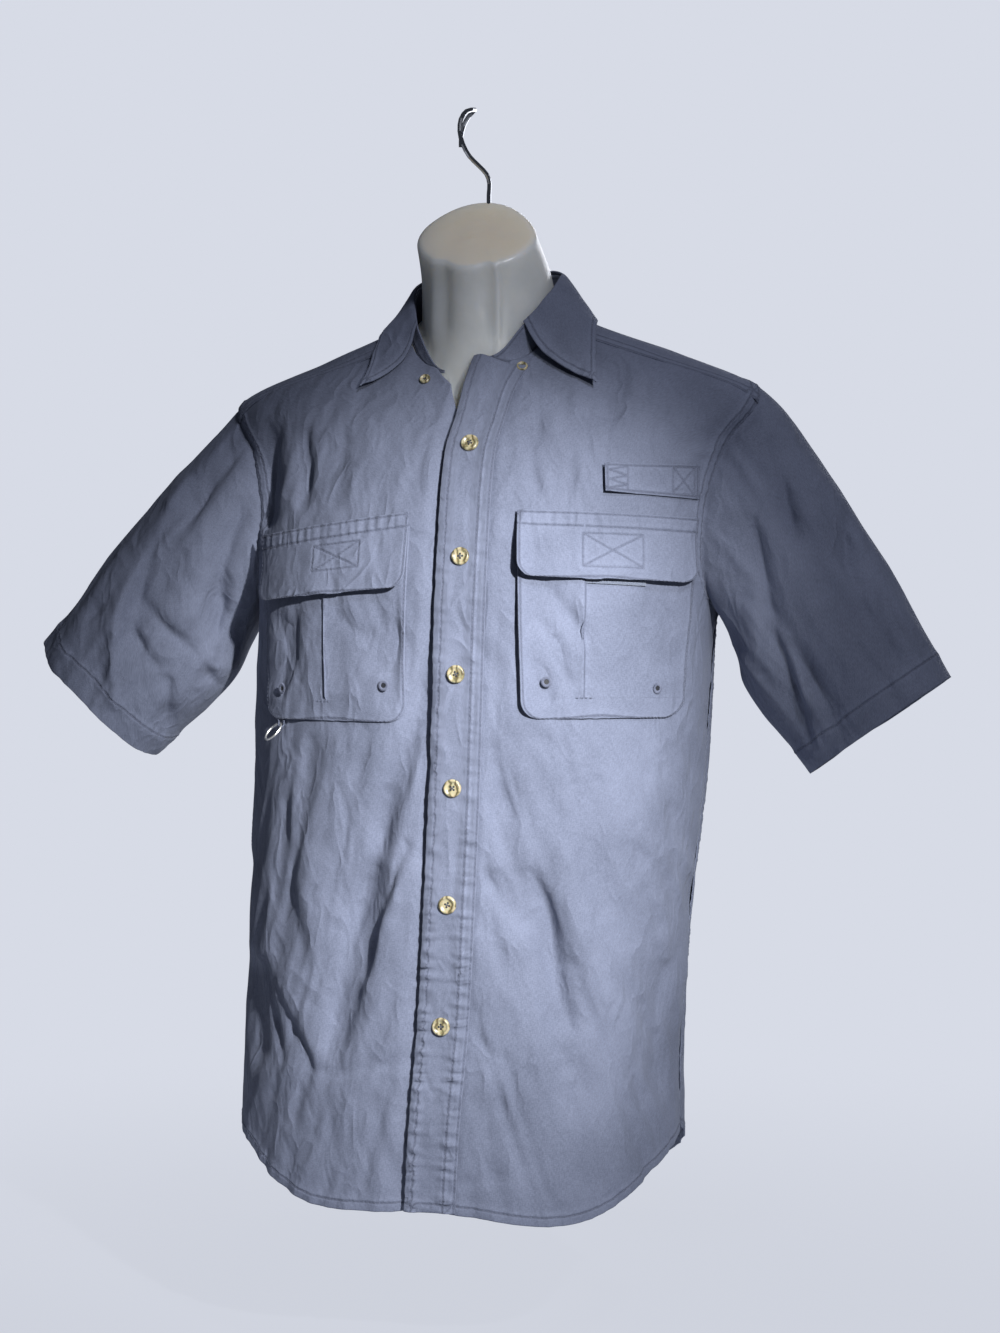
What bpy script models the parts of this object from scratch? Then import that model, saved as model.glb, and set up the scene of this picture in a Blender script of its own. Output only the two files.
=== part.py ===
"""Fishing shirt with short sleeves, buttoned over a limbless torso form that hangs by a wire hook.

The front faces -Y and +X is the wearer's left. The origin is the inner crest of the hook.
Sizes are in millimetres and turned into metres where a mesh is made.
"""
import math

import bmesh
import bpy
from mathutils import Matrix, Vector

MM = 0.001

# Driving dimensions, in millimetres
WALL = 1.2               # one layer of sewn cloth
SEAM_GAP = 0.4           # clearance where two pieces meet
PATCH_LIFT = 0.8         # clearance under what lies on a panel
BODY_SHIFT = 9.0         # the garment's middle lies to the side of the hook's crest
ROUNDNESS = 2.2          # exponent of the body's rings, 2 is an ellipse

NECK_MIDDLE = (8.0, -4.0)
NECKLINE_RADIUS = 67.0
STAND_TOP_RADIUS = 61.5
ARMHOLE_FRONT_TURN = 25.0   # degrees that the armhole swings forward of the side line
ARMHOLE_BACK_TURN = 25.0
YOKE_FRONT_TURN = 12.0      # degrees from the shoulder ridge forward to the yoke's front seam
YOKE_BACK_Z = -292.0
PLACKET_HALF = 19.5
BUTTON_RADIUS = 7.2
BUTTON_THICKNESS = 2.8
HOOK_WIRE = 1.9
FORM_BOTTOM_Z = -705.0
CAP_TILT = 38.0

# Rings of the worn shirt: height, half width, middle x, ridge y, depth to the front, depth to the back
RINGS = (
    (-150.0, 50.0, 8.0, -3.0, 22.0, 56.0),
    (-174.0, 66.0, 8.0, -2.0, 31.0, 66.0),
    (-207.0, 142.0, 10.0, 0.0, 49.0, 78.0),
    (-240.0, 221.0, 12.0, 4.0, 76.0, 92.0),
    (-285.0, 212.0, 8.0, 8.0, 108.0, 112.0),
    (-335.0, 203.0, 4.0, 10.0, 126.0, 122.0),
    (-412.0, 193.0, 0.0, 10.0, 138.0, 128.0),
    (-490.0, 191.0, -4.0, 10.0, 141.0, 126.0),
    (-575.0, 189.0, -9.0, 10.0, 142.0, 124.0),
    (-683.0, 185.0, -16.0, 8.0, 140.0, 124.0),
    (-783.0, 183.0, -20.0, 6.0, 139.0, 126.0),
    (-940.0, 188.0, -24.0, 6.0, 140.0, 130.0),
)

# Folds of the body: side (front or back), x and z at each end, half width, depth (minus raises a ridge)
BODY_FOLDS = (
    ("front", -16.0, -472.0, -61.0, -612.0, 13.0, 6.0),
    ("front", -61.0, -612.0, -100.0, -769.0, 17.0, 8.0),
    ("front", -44.0, -600.0, -80.0, -720.0, 9.0, -4.0),
    ("front", -186.0, -700.0, -172.0, -790.0, 12.0, 6.0),
    ("front", -165.0, -262.0, -173.0, -350.0, 12.0, 6.0),
    ("front", -136.0, -269.0, -131.0, -336.0, 8.0, 3.0),
    ("front", 61.0, -618.0, 94.0, -757.0, 14.0, 8.0),
    ("front", 36.0, -560.0, 62.0, -672.0, 9.0, 4.0),
    ("front", 84.0, -600.0, 118.0, -740.0, 11.0, -4.0),
    ("front", 148.0, -690.0, 154.0, -810.0, 10.0, 4.0),
    ("front", 122.0, -215.0, 113.0, -268.0, 12.0, 3.5),
    ("back", -70.0, -330.0, -98.0, -700.0, 18.0, 7.0),
    ("back", 14.0, -310.0, 2.0, -560.0, 13.0, 5.0),
    ("back", 82.0, -360.0, 60.0, -790.0, 16.0, 7.0),
    ("back", -20.0, -620.0, -36.0, -860.0, 15.0, 5.0),
    ("back", 140.0, -520.0, 132.0, -820.0, 13.0, 5.0),
)

# Middle of the button placket: height, x
PLACKET_MIDDLE = (
    (-206.0, 35.0), (-243.0, 19.0), (-266.0, 14.0), (-292.0, 9.5), (-377.0, 7.5), (-469.0, 5.5),
    (-558.0, 3.0), (-649.0, -1.0), (-744.0, -6.0), (-825.0, -13.0), (-910.0, -17.5),
)
BUTTON_HEIGHTS = (-287.0, -377.0, -469.0, -558.0, -649.0, -744.0)

# Shirt-tail hem of the fronts and of the back: turn from the middle front in degrees, height
FRONT_HEM_RIGHT = ((0.0, -890.0), (12.0, -891.0), (28.0, -890.0), (45.0, -873.0), (62.0, -852.0), (90.0, -838.0))
FRONT_HEM_LEFT = ((0.0, -889.0), (12.0, -893.0), (30.0, -900.0), (45.0, -894.0), (60.0, -873.0), (90.0, -842.0))
BACK_HEM = ((90.0, -842.0), (115.0, -872.0), (140.0, -896.0), (180.0, -902.0), (220.0, -892.0), (245.0, -864.0),
            (270.0, -838.0))

# Each sleeve past its armhole: top x, top z, bottom x, bottom z, half depth, middle y
SLEEVE_SECTIONS = {
    "right": (
        (-237.0, -269.0, -208.0, -438.0, 64.0, 8.0),
        (-276.0, -310.0, -222.0, -470.0, 64.0, 6.0),
        (-318.0, -356.0, -247.0, -497.0, 61.0, 3.0),
        (-354.0, -401.0, -270.0, -518.0, 57.0, 1.0),
        (-386.0, -441.0, -292.0, -538.0, 53.0, 0.0),
    ),
    "left": (
        (247.0, -253.0, 207.0, -448.0, 64.0, 8.0),
        (279.0, -296.0, 216.0, -478.0, 65.0, 6.0),
        (309.0, -343.0, 233.0, -503.0, 62.0, 3.0),
        (342.0, -398.0, 252.0, -525.0, 59.0, 1.0),
        (381.0, -472.0, 271.0, -549.0, 55.0, 0.0),
    ),
}
# Folds of the sleeves: turn at the armhole and at the cuff in degrees, first and last place, half width, depth
SLEEVE_FOLDS = {
    "right": ((40.0, 60.0, 0.15, 1.0, 13.0, -5.0), (75.0, 95.0, 0.25, 0.95, 12.0, 5.0),
              (128.0, 120.0, 0.05, 0.8, 12.0, 6.0), (250.0, 262.0, 0.2, 1.0, 16.0, 5.0)),
    "left": ((62.0, 74.0, 0.0, 0.95, 12.0, 6.0), (38.0, 44.0, 0.1, 0.7, 11.0, 4.0),
             (104.0, 100.0, 0.3, 0.9, 12.0, 5.0), (258.0, 250.0, 0.2, 1.0, 16.0, 5.0)),
}
ARMHOLE_TOP_Z = {"right": -242.0, "left": -234.0}
ARMHOLE_PIT_Z = {"right": -408.0, "left": -416.0}

# Top edge of the collar stand and fold of the collar: turn round the neck from the middle front, height
COLLAR_FOLD = ((0.0, -212.0), (12.0, -205.0), (40.0, -185.0), (66.0, -160.0), (92.0, -141.0), (135.0, -131.0),
               (180.0, -128.0), (225.0, -133.0), (268.0, -146.0), (290.0, -166.0), (304.0, -186.0),
               (330.0, -203.0), (345.0, -212.0))
# Outer edge of the collar in plan: x, y, height above the body
COLLAR_EDGE = (
    (103.0, -65.0, 3.0), (106.0, -36.0, 4.5), (99.0, 0.0, 6.0), (84.0, 34.0, 6.0), (50.0, 58.0, 7.0),
    (8.0, 70.0, 8.0), (-34.0, 58.0, 7.0), (-66.0, 34.0, 6.0), (-80.0, 0.0, 6.0), (-90.0, -33.0, 4.5),
    (-96.0, -57.0, 3.0),
)
COLLAR_TURNS = (40.0, 302.0)
STAND_TURNS = (4.0, 336.0)

# Patch pockets on the fronts: corners as x and z, upper outer first, then round by the inner side
POCKETS = {
    "right": {"outer_top": (-171.0, -356.0), "inner_top": (-35.0, -342.0),
              "outer_low": (-165.0, -505.0), "inner_low": (-36.0, -507.0), "flap": 54.0},
    "left": {"outer_top": (183.0, -345.0), "inner_top": (51.0, -341.0),
             "outer_low": (172.0, -503.0), "inner_low": (56.0, -504.0), "flap": 51.0},
}
EYELETS = ((-53.0, -478.0), (-146.0, -481.0), (75.0, -475.0), (154.0, -480.0))
EYELET_RADIUS = 4.4
COLLAR_BUTTONS = {"right": (-34.0, -236.0), "left": (49.0, -229.0)}

# Wire of the hook as seen from the front, with its depth: x, y, z
HOOK_ROUTE = (
    (3.0, 6.0, -79.3), (3.0, 7.0, -68.0), (3.5, 6.0, -59.0), (1.0, 1.0, -52.0), (-6.0, -7.0, -46.0),
    (-13.5, -16.0, -40.0), (-19.0, -22.0, -31.0), (-21.5, -25.0, -21.0), (-20.5, -23.0, -10.5),
    (-16.0, -15.0, -2.5), (-9.0, 0.0, 1.9), (-14.0, 10.0, -0.5), (-18.5, 18.5, -6.0), (-21.0, 24.0, -14.0),
    (-21.3, 26.0, -23.0),
)
HOOK_TURN = 12.0         # degrees that the hook's plane is turned about its stem

# Tool ring under the outer corner of the right pocket: its seat as x and z, and how it hangs there
RING_SEAT = (-146.5, -509.5)
RING_LIFT = 3.6
RING_HANG = (-0.685, -0.146, -0.70)
RING_TANGENT = (0.454, -0.84, -0.27)
RING_RADIUS = 8.6
RING_WIRE = 0.9
LOOP_BEND = 1.7
LOOP_WIDTH = 4.0

COLOURS = {
    "cloth": (0.135, 0.155, 0.235), "form": (0.36, 0.38, 0.36), "steel": (0.55, 0.56, 0.58),
    "horn": (0.52, 0.44, 0.22), "zinc": (0.85, 0.86, 0.88), "fastener": (0.05, 0.055, 0.08),
}

shirt = None


def clear_scene():
    for item in list(bpy.data.objects):
        bpy.data.objects.remove(item, do_unlink=True)


def material(name, colour, roughness, metallic=0.0):
    made = bpy.data.materials.new(name)
    made.use_nodes = True
    shader = made.node_tree.nodes["Principled BSDF"]
    shader.inputs["Base Color"].default_value = (*colour, 1.0)
    shader.inputs["Roughness"].default_value = roughness
    shader.inputs["Metallic"].default_value = metallic
    made.diffuse_color = (*colour, 1.0)
    return made


def mix(a, b, t):
    return a + (b - a) * t


def ease(t):
    t = min(1.0, max(0.0, t))
    return t * t * (3.0 - 2.0 * t)


def read_table(rows, key):
    """Row values at a key, joined by smooth curves that pass through each row."""
    falling = rows[0][0] > rows[-1][0]
    ordered = rows[::-1] if falling else rows
    keys = [row[0] for row in ordered]
    key = min(max(key, keys[0]), keys[-1])
    place = max(i for i in range(len(keys) - 1) if keys[i] <= key)
    span = keys[place + 1] - keys[place]
    t = (key - keys[place]) / span
    found = []
    for column in range(1, len(ordered[0])):
        v1, v2 = ordered[place][column], ordered[place + 1][column]
        slopes = []
        for at in (place, place + 1):
            before, after = max(at - 1, 0), min(at + 1, len(keys) - 1)
            slopes.append((ordered[after][column] - ordered[before][column]) / (keys[after] - keys[before]))
        h = t * t * (3.0 - 2.0 * t)
        found.append(v1 * (1.0 - h) + v2 * h
                     + span * (slopes[0] * t * (1.0 - t) ** 2 - slopes[1] * t * t * (1.0 - t)))
    return found


def fold_at(side, x, z):
    """Depth of the body's folds at a place on its front or back."""
    total = 0.0
    for where, x1, z1, x2, z2, width, depth in BODY_FOLDS:
        if where != side:
            continue
        run = Vector((x2 - x1, z2 - z1))
        along = (Vector((x - x1, z - z1)).dot(run)) / run.length_squared
        nearest = Vector((x1, z1)) + run * min(1.0, max(0.0, along))
        away = (Vector((x, z)) - nearest).length / width
        fade = ease(along / 0.3 + 0.35) * ease((1.0 - along) / 0.3 + 0.35)
        total += depth * fade * math.exp(-away * away)
    return total


def body_point(turn, z, lift=0.0):
    """Point on the worn shirt's outer face. Turn is in degrees from the middle front towards +X."""
    half, middle, ridge, front, back = read_table(RINGS, z)
    power = 2.0 / ROUNDNESS
    s = math.sin(math.radians(turn))
    c = math.cos(math.radians(turn))
    depth = front if c > 0.0 else back
    x = middle + half * math.copysign(abs(s) ** power, s)
    y = ridge - depth * math.copysign(abs(c) ** power, c)
    level = ease((-206.0 - z) / 30.0)
    fold = fold_at("front" if c > 0.0 else "back", x, z) * level * min(1.0, abs(c) * 4.0)
    outward = Vector(((x - middle) / half ** 2, (y - ridge) / depth ** 2, 0.0)).normalized()
    return Vector((x, y, z)) + outward * (lift - fold)


def turn_at(x, z, front=True):
    """Turn at which the ring of a height reaches an x, on the front or on the back."""
    half, middle = read_table(RINGS, z)[:2]
    part = min(1.0, max(-1.0, (x - middle) / half))
    angle = math.degrees(math.asin(math.copysign(abs(part) ** (ROUNDNESS / 2.0), part)))
    return angle if front else 180.0 - angle


def height_at(x, y):
    """Height at which the shoulders' surface stands over a place in plan."""
    low, high = -300.0, -151.0
    for _ in range(40):
        z = (low + high) / 2.0
        half, middle, ridge, front, back = read_table(RINGS, z)
        depth = front if y < ridge else back
        reach = (abs(x - middle) / half) ** ROUNDNESS + (abs(y - ridge) / depth) ** ROUNDNESS
        if reach > 1.0:
            high = z
        else:
            low = z
    return low


def surface_on_front(x, z, lift=0.0):
    """Point on the front at an x and a height, moved out along the surface's true normal."""
    turn = turn_at(x, z)
    point = body_point(turn, z)
    across = body_point(turn + 0.7, z) - body_point(turn - 0.7, z)
    down = body_point(turn, z - 1.5) - body_point(turn, z + 1.5)
    normal = down.cross(across).normalized()
    if normal.y > 0.0:
        normal.negate()
    return point + normal * lift, normal


def placket_middle(z):
    return read_table(PLACKET_MIDDLE, z)[0]


def neckline(turn):
    """Turn and height on the body of the neckline, at a turn round the neck."""
    angle = math.radians(turn)
    x = NECK_MIDDLE[0] + NECKLINE_RADIUS * math.sin(angle)
    y = NECK_MIDDLE[1] - NECKLINE_RADIUS * math.cos(angle)
    z = height_at(x, y)
    half, middle, ridge, front, back = read_table(RINGS, z)
    depth = front if y < ridge else back
    s = math.copysign((abs(x - middle) / half) ** (ROUNDNESS / 2.0), x - middle)
    c = math.copysign((abs(y - ridge) / depth) ** (ROUNDNESS / 2.0), ridge - y)
    return math.degrees(math.atan2(s, c)), z


def armhole(side, part, back=False):
    """Turn and height of the armhole seam. Part runs from 0 at the shoulder to 1 at the armpit."""
    top, pit = ARMHOLE_TOP_Z[side], ARMHOLE_PIT_Z[side]
    angle = math.pi * part
    z = top + (pit - top) * (1.0 - math.cos(angle)) / 2.0
    swing = ARMHOLE_BACK_TURN if back else -ARMHOLE_FRONT_TURN
    turn = 90.0 + swing * math.sin(angle) ** 0.8
    return (turn if side == "left" else -turn), z


def finish(name, mesh_object, made, smooth=True):
    mesh_object.name = name
    mesh_object.data.name = name
    mesh_object.data.materials.clear()
    mesh_object.data.materials.append(made)
    if smooth:
        mesh_object.data.shade_smooth()
        mesh_object.data.set_sharp_from_angle(angle=math.radians(40.0))
    for old in list(mesh_object.users_collection):
        old.objects.unlink(mesh_object)
    shirt.objects.link(mesh_object)
    return mesh_object


def sheet(name, made, columns, rows, place, wall=WALL, flip=False, closed=False):
    """Cloth piece: a grid laid by place(u, v) in millimetres, with its wall to the inside."""
    grid = bmesh.new()
    bmesh.ops.create_grid(grid, x_segments=columns, y_segments=rows, size=0.5)
    for vertex in grid.verts:
        u, v = vertex.co.x + 0.5, vertex.co.y + 0.5
        point = place(u, v)
        vertex.co = Vector((point.x + BODY_SHIFT, point.y, point.z)) * MM
    if closed:
        bmesh.ops.remove_doubles(grid, verts=grid.verts, dist=0.00002)
    if flip:
        bmesh.ops.reverse_faces(grid, faces=grid.faces)
    mesh = bpy.data.meshes.new(name)
    grid.to_mesh(mesh)
    grid.free()
    made_object = bpy.data.objects.new(name, mesh)
    shell = made_object.modifiers.new("cloth wall", "SOLIDIFY")
    shell.thickness = wall * MM
    shell.offset = -1.0
    shell.use_even_offset = False
    return finish(name, made_object, made)


def path_point(points, t):
    """Point at a share of the way along a list of (turn, height) pairs, by their own lengths in height."""
    lengths = [0.0]
    for a, b in zip(points, points[1:]):
        lengths.append(lengths[-1] + math.hypot((b[0] - a[0]) * 2.2, b[1] - a[1]))
    wanted = t * lengths[-1]
    for i in range(len(points) - 1):
        if wanted <= lengths[i + 1] or i == len(points) - 2:
            share = (wanted - lengths[i]) / (lengths[i + 1] - lengths[i])
            return mix(points[i][0], points[i + 1][0], share), mix(points[i][1], points[i + 1][1], share)


def outer_edge(side, hem_z):
    """Side seam, armhole and shoulder end of a front, from the hem up."""
    sign = 1.0 if side == "left" else -1.0
    pit = ARMHOLE_PIT_Z[side]
    edge = [(sign * 89.85, mix(hem_z, pit, i / 9.0)) for i in range(9)]
    first = 1.0 - YOKE_FRONT_TURN / (ARMHOLE_FRONT_TURN * 2.6)
    for i in range(13):
        turn, z = armhole(side, mix(1.0, 1.0 - first, i / 12.0))
        edge.append((turn * 0.9982, z))
    return edge


def inner_edge(side):
    """Middle edge of a front from the hem up, along the opening and round the neckline."""
    edge = []
    if side == "left":
        for i in range(22):
            z = mix(-889.0, -236.0, i / 21.0)
            edge.append((turn_at(placket_middle(z) + PLACKET_HALF + SEAM_GAP * 1.5, z), z))
        for turn in (28.0, 38.0, 48.0, 57.0, 66.0):
            edge.append(neckline(turn))
    else:
        opening = ((-889.0, -3.0), (-825.0, 2.0), (-744.0, 8.0), (-649.0, 13.0), (-558.0, 17.0), (-377.0, 20.0),
                   (-300.0, 18.0), (-280.0, 3.0), (-262.0, -5.0), (-240.0, -13.0))
        for i in range(22):
            z = mix(-889.0, -240.0, i / 21.0)
            edge.append((turn_at(read_table(opening, z)[0], z), z))
        for turn in (-28.0, -38.0, -47.0, -55.0, -62.0):
            edge.append(neckline(turn))
    return edge


def front_place(side):
    sign = 1.0 if side == "left" else -1.0
    hem = FRONT_HEM_LEFT if side == "left" else FRONT_HEM_RIGHT
    inner, outer = inner_edge(side), outer_edge(side, hem[-1][1])

    def place(u, v):
        a, b = path_point(inner, v), path_point(outer, v)
        turn, z = mix(a[0], b[0], u), mix(a[1], b[1], u)
        hem_z = read_table(hem, abs(turn))[0]
        straight = mix(inner[0][1], outer[0][1], u)
        z += (hem_z - straight) * (1.0 - ease(v / 0.35))
        tuck = 0.0
        if sign < 0.0:
            x = body_point(turn, z).x
            tuck = 3.6 * ease((x - placket_middle(z) + PLACKET_HALF + 15.0) / 13.0)
        return body_point(turn, z, -tuck)
    return place


def back_place(u, v):
    """The back from its hem to the yoke, with the armholes at its upper sides."""
    def side_edge(side):
        sign = 1.0 if side == "left" else -1.0
        hem_z = BACK_HEM[0][1] if side == "left" else BACK_HEM[-1][1]
        edge = [(sign * 90.15, mix(hem_z, ARMHOLE_PIT_Z[side], i / 9.0)) for i in range(9)]
        last = back_corner(side)
        for i in range(10):
            turn, z = armhole(side, mix(1.0, last, i / 9.0), back=True)
            edge.append((turn * 1.0018, z))
        return edge
    right_end = path_point(side_edge("left"), v)
    left_end = path_point(side_edge("right"), v)
    turn = mix(right_end[0], 360.0 + left_end[0], u)
    z = mix(right_end[1], left_end[1], u)
    top = ease((v - 0.75) / 0.25)
    z = mix(z, mix(z, YOKE_BACK_Z - SEAM_GAP, top), ease(u / 0.06) * ease((1.0 - u) / 0.06))
    straight = mix(BACK_HEM[0][1], BACK_HEM[-1][1], u)
    z += (read_table(BACK_HEM, turn)[0] - straight) * (1.0 - ease(v / 0.35))
    return body_point(turn, z)


def back_corner(side):
    """Share of the armhole at which the yoke's back seam reaches it."""
    return min((abs(armhole(side, p / 200.0, back=True)[1] - YOKE_BACK_Z + 0.2), p / 200.0)
               for p in range(1, 200))[1]


def yoke_place(u, v):
    """The yoke, laid round the neck from one front seam over the back to the other."""
    turn_neck = mix(66.6, 297.4, u)
    inner = neckline(turn_neck if turn_neck <= 180.0 else turn_neck - 360.0)
    inner_turn = inner[0] if inner[0] > 0.0 else inner[0] + 360.0
    share = 0.2
    first = 1.0 - YOKE_FRONT_TURN / (ARMHOLE_FRONT_TURN * 2.6)

    def along_armhole(side, t):
        """From the front seam over the shoulder's end to the yoke's back corner."""
        front_part, back_part = 1.0 - first, back_corner(side) - 0.008
        run = mix(-front_part + 0.006, back_part, t)
        turn, z = armhole(side, abs(run), back=run > 0.0)
        return (turn if turn > 0.0 else turn + 360.0), z

    if u < share:
        outer = along_armhole("left", u / share)
    elif u > 1.0 - share:
        outer = along_armhole("right", (1.0 - u) / share)
    else:
        start, end = along_armhole("left", 1.0), along_armhole("right", 1.0)
        t = (u - share) / (1.0 - 2.0 * share)
        outer = (mix(start[0], end[0], t), YOKE_BACK_Z)
    return body_point(mix(inner_turn, outer[0], v), mix(inner[1], outer[1], v))


def sleeve_place(side):
    """A sleeve from its armhole to its cuff, round from the shoulder by the front to the underarm."""
    sign = 1.0 if side == "left" else -1.0
    sections = SLEEVE_SECTIONS[side]

    def section_point(row, angle):
        top_x, top_z, low_x, low_z, depth, middle_y = row
        c, s = math.cos(angle), math.sin(angle)
        reach = math.copysign(abs(c) ** 0.9, c)
        return Vector((mix(low_x, top_x, (reach + 1.0) / 2.0),
                       middle_y - depth * math.copysign(abs(s) ** 0.9, s),
                       mix(low_z, top_z, (reach + 1.0) / 2.0)))

    def place(u, v):
        angle = 2.0 * math.pi * u
        part = u * 2.0 if u <= 0.5 else 2.0 - u * 2.0
        turn, z = armhole(side, part, back=u > 0.5)
        start = body_point(turn, z) + Vector((sign * mix(1.15, 2.4, ease(part)), 0.0, 0.0))
        points = [start] + [section_point(row, angle) for row in sections]
        run = v * (len(points) - 1)
        at = min(int(run), len(points) - 2)
        t = run - at
        p0, p1 = points[max(at - 1, 0)], points[at]
        p2, p3 = points[at + 1], points[min(at + 2, len(points) - 1)]
        h = t * t * (3.0 - 2.0 * t)
        slope1, slope2 = (p2 - p0) / 2.0, (p3 - p1) / 2.0
        point = p1 * (1.0 - h) + p2 * h + slope1 * (t * (1.0 - t) ** 2) - slope2 * (t * t * (1.0 - t))
        middle = (sum((section_point(sections[min(at, len(sections) - 1)], a * math.pi / 2.0)
                       for a in range(4)), Vector()) / 4.0)
        fold = 0.0
        for turn1, turn2, first, last, width, depth in SLEEVE_FOLDS[side]:
            centre = mix(turn1, turn2, v)
            away = (math.degrees(angle) - centre) / width
            fade = ease((v - first) / 0.22) * ease((last - v) / 0.12 + 0.5)
            fold += depth * fade * math.exp(-away * away)
        inward = middle - point
        inward.x *= 0.6
        return point + inward.normalized() * fold * ease(v / 0.25)
    return place


def neck_ring(turn, radius, z):
    angle = math.radians(turn)
    return Vector((NECK_MIDDLE[0] + radius * math.sin(angle), NECK_MIDDLE[1] - radius * math.cos(angle), z))


def stand_place(u, v):
    """Collar stand, from the neckline up to the fold of the collar."""
    turn = mix(STAND_TURNS[0], STAND_TURNS[1], u)
    signed = turn if turn <= 180.0 else turn - 360.0
    body_turn, base_z = neckline(signed)
    base = body_point(body_turn, base_z)
    base = neck_ring(turn, NECKLINE_RADIUS - 0.9, base.z + SEAM_GAP + 0.7)
    top = neck_ring(turn, STAND_TOP_RADIUS, read_table(COLLAR_FOLD, turn)[0] - 1.0)
    point = base.lerp(top, v)
    end = ease((u - 0.0) / 0.05) * ease((1.0 - u) / 0.05)
    point.z -= 7.0 * (1.0 - end) * v
    return point


def collar_place(u, v):
    """Collar leaf, folded over the stand and lying on the shoulders."""
    turn = mix(COLLAR_TURNS[0], COLLAR_TURNS[1], u)
    fold = neck_ring(turn, STAND_TOP_RADIUS, read_table(COLLAR_FOLD, turn)[0])
    rows = [(i / (len(COLLAR_EDGE) - 1.0), *row) for i, row in enumerate(COLLAR_EDGE)]
    x, y, lift = read_table(rows, u)
    edge = Vector((x, y, height_at(x, y) + lift))
    outward = neck_ring(turn, 1.0, 0.0) - neck_ring(turn, 0.0, 0.0)
    roll = 2.6 * math.sin(min(1.0, v / 0.18) * math.pi / 2.0)
    rise = 2.2 + 0.6 * math.sin(min(1.0, v / 0.18) * math.pi)
    point = fold.lerp(edge, ease(v) * 0.35 + v * 0.65)
    puff = math.sin(math.pi * v) * (4.0 + 3.0 * abs(math.sin(math.radians(turn))))
    return point + outward * (roll * (1.0 - v) + puff) + Vector((0.0, 0.0, rise * (1.0 - v) + puff * 0.35))


def patch(name, made, corners, columns, rows, lift, wall=WALL, rounding=(0.0, 0.0), puff=0.0, extra=None):
    """Piece laid on a front. Corners are x and z: top first side, top second side, then both at the bottom."""
    top_a, top_b, low_a, low_b = corners
    width = abs(top_b[0] - top_a[0])
    height = abs(low_a[1] - top_a[1])

    def place(u, v):
        x = mix(mix(top_a[0], top_b[0], u), mix(low_a[0], low_b[0], u), v)
        z = mix(mix(top_a[1], top_b[1], u), mix(low_a[1], low_b[1], u), v)
        near = min(u, 1.0 - u) * width
        radius = rounding[1]
        if radius and near < radius:
            z += (radius - math.sqrt(max(0.0, radius ** 2 - (radius - near) ** 2))) * ease(v * height / radius - 1.0)
        swell = puff * (math.sin(math.pi * min(1.0, max(0.0, u)))) ** 0.5 * math.sin(math.pi * min(0.96, v + 0.04))
        rise = lift + wall + swell + (extra(u, v) if extra else 0.0)
        return surface_on_front(x, z, rise)[0]
    direction = top_b[0] > top_a[0]
    return sheet(name, made, columns, rows, place, wall, flip=direction)


def turned(name, made, profile, segments, point, normal, closed=False):
    """Round piece spun from its profile (radius, height) and set on a surface."""
    body = bmesh.new()
    line = [body.verts.new((radius * MM, 0.0, height * MM)) for radius, height in profile]
    edges = [body.edges.new(pair) for pair in zip(line, line[1:])]
    if closed:
        edges.append(body.edges.new((line[-1], line[0])))
    bmesh.ops.spin(body, geom=line + edges, cent=(0.0, 0.0, 0.0), axis=(0.0, 0.0, 1.0),
                   angle=2.0 * math.pi, steps=segments, use_merge=True)
    bmesh.ops.remove_doubles(body, verts=body.verts, dist=0.00001)
    bmesh.ops.recalc_face_normals(body, faces=body.faces)
    mesh = bpy.data.meshes.new(name)
    body.to_mesh(mesh)
    body.free()
    made_object = bpy.data.objects.new(name, mesh)
    made_object.matrix_world = (Matrix.Translation(Vector((point.x + BODY_SHIFT, point.y, point.z)) * MM)
                                @ normal.to_track_quat("Z", "Y").to_matrix().to_4x4())
    return finish(name, made_object, made)


def button(name, made, point, normal, radius, thickness):
    """Dished button with a raised rim."""
    rim = radius * 0.22
    profile = ((0.0, 0.0), (radius * 0.85, 0.0), (radius, thickness * 0.4), (radius - rim * 0.3, thickness),
               (radius - rim, thickness * 0.95), (radius - rim * 1.6, thickness * 0.66), (0.0, thickness * 0.6))
    return turned(name, made, profile, 16, point, normal)


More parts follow.
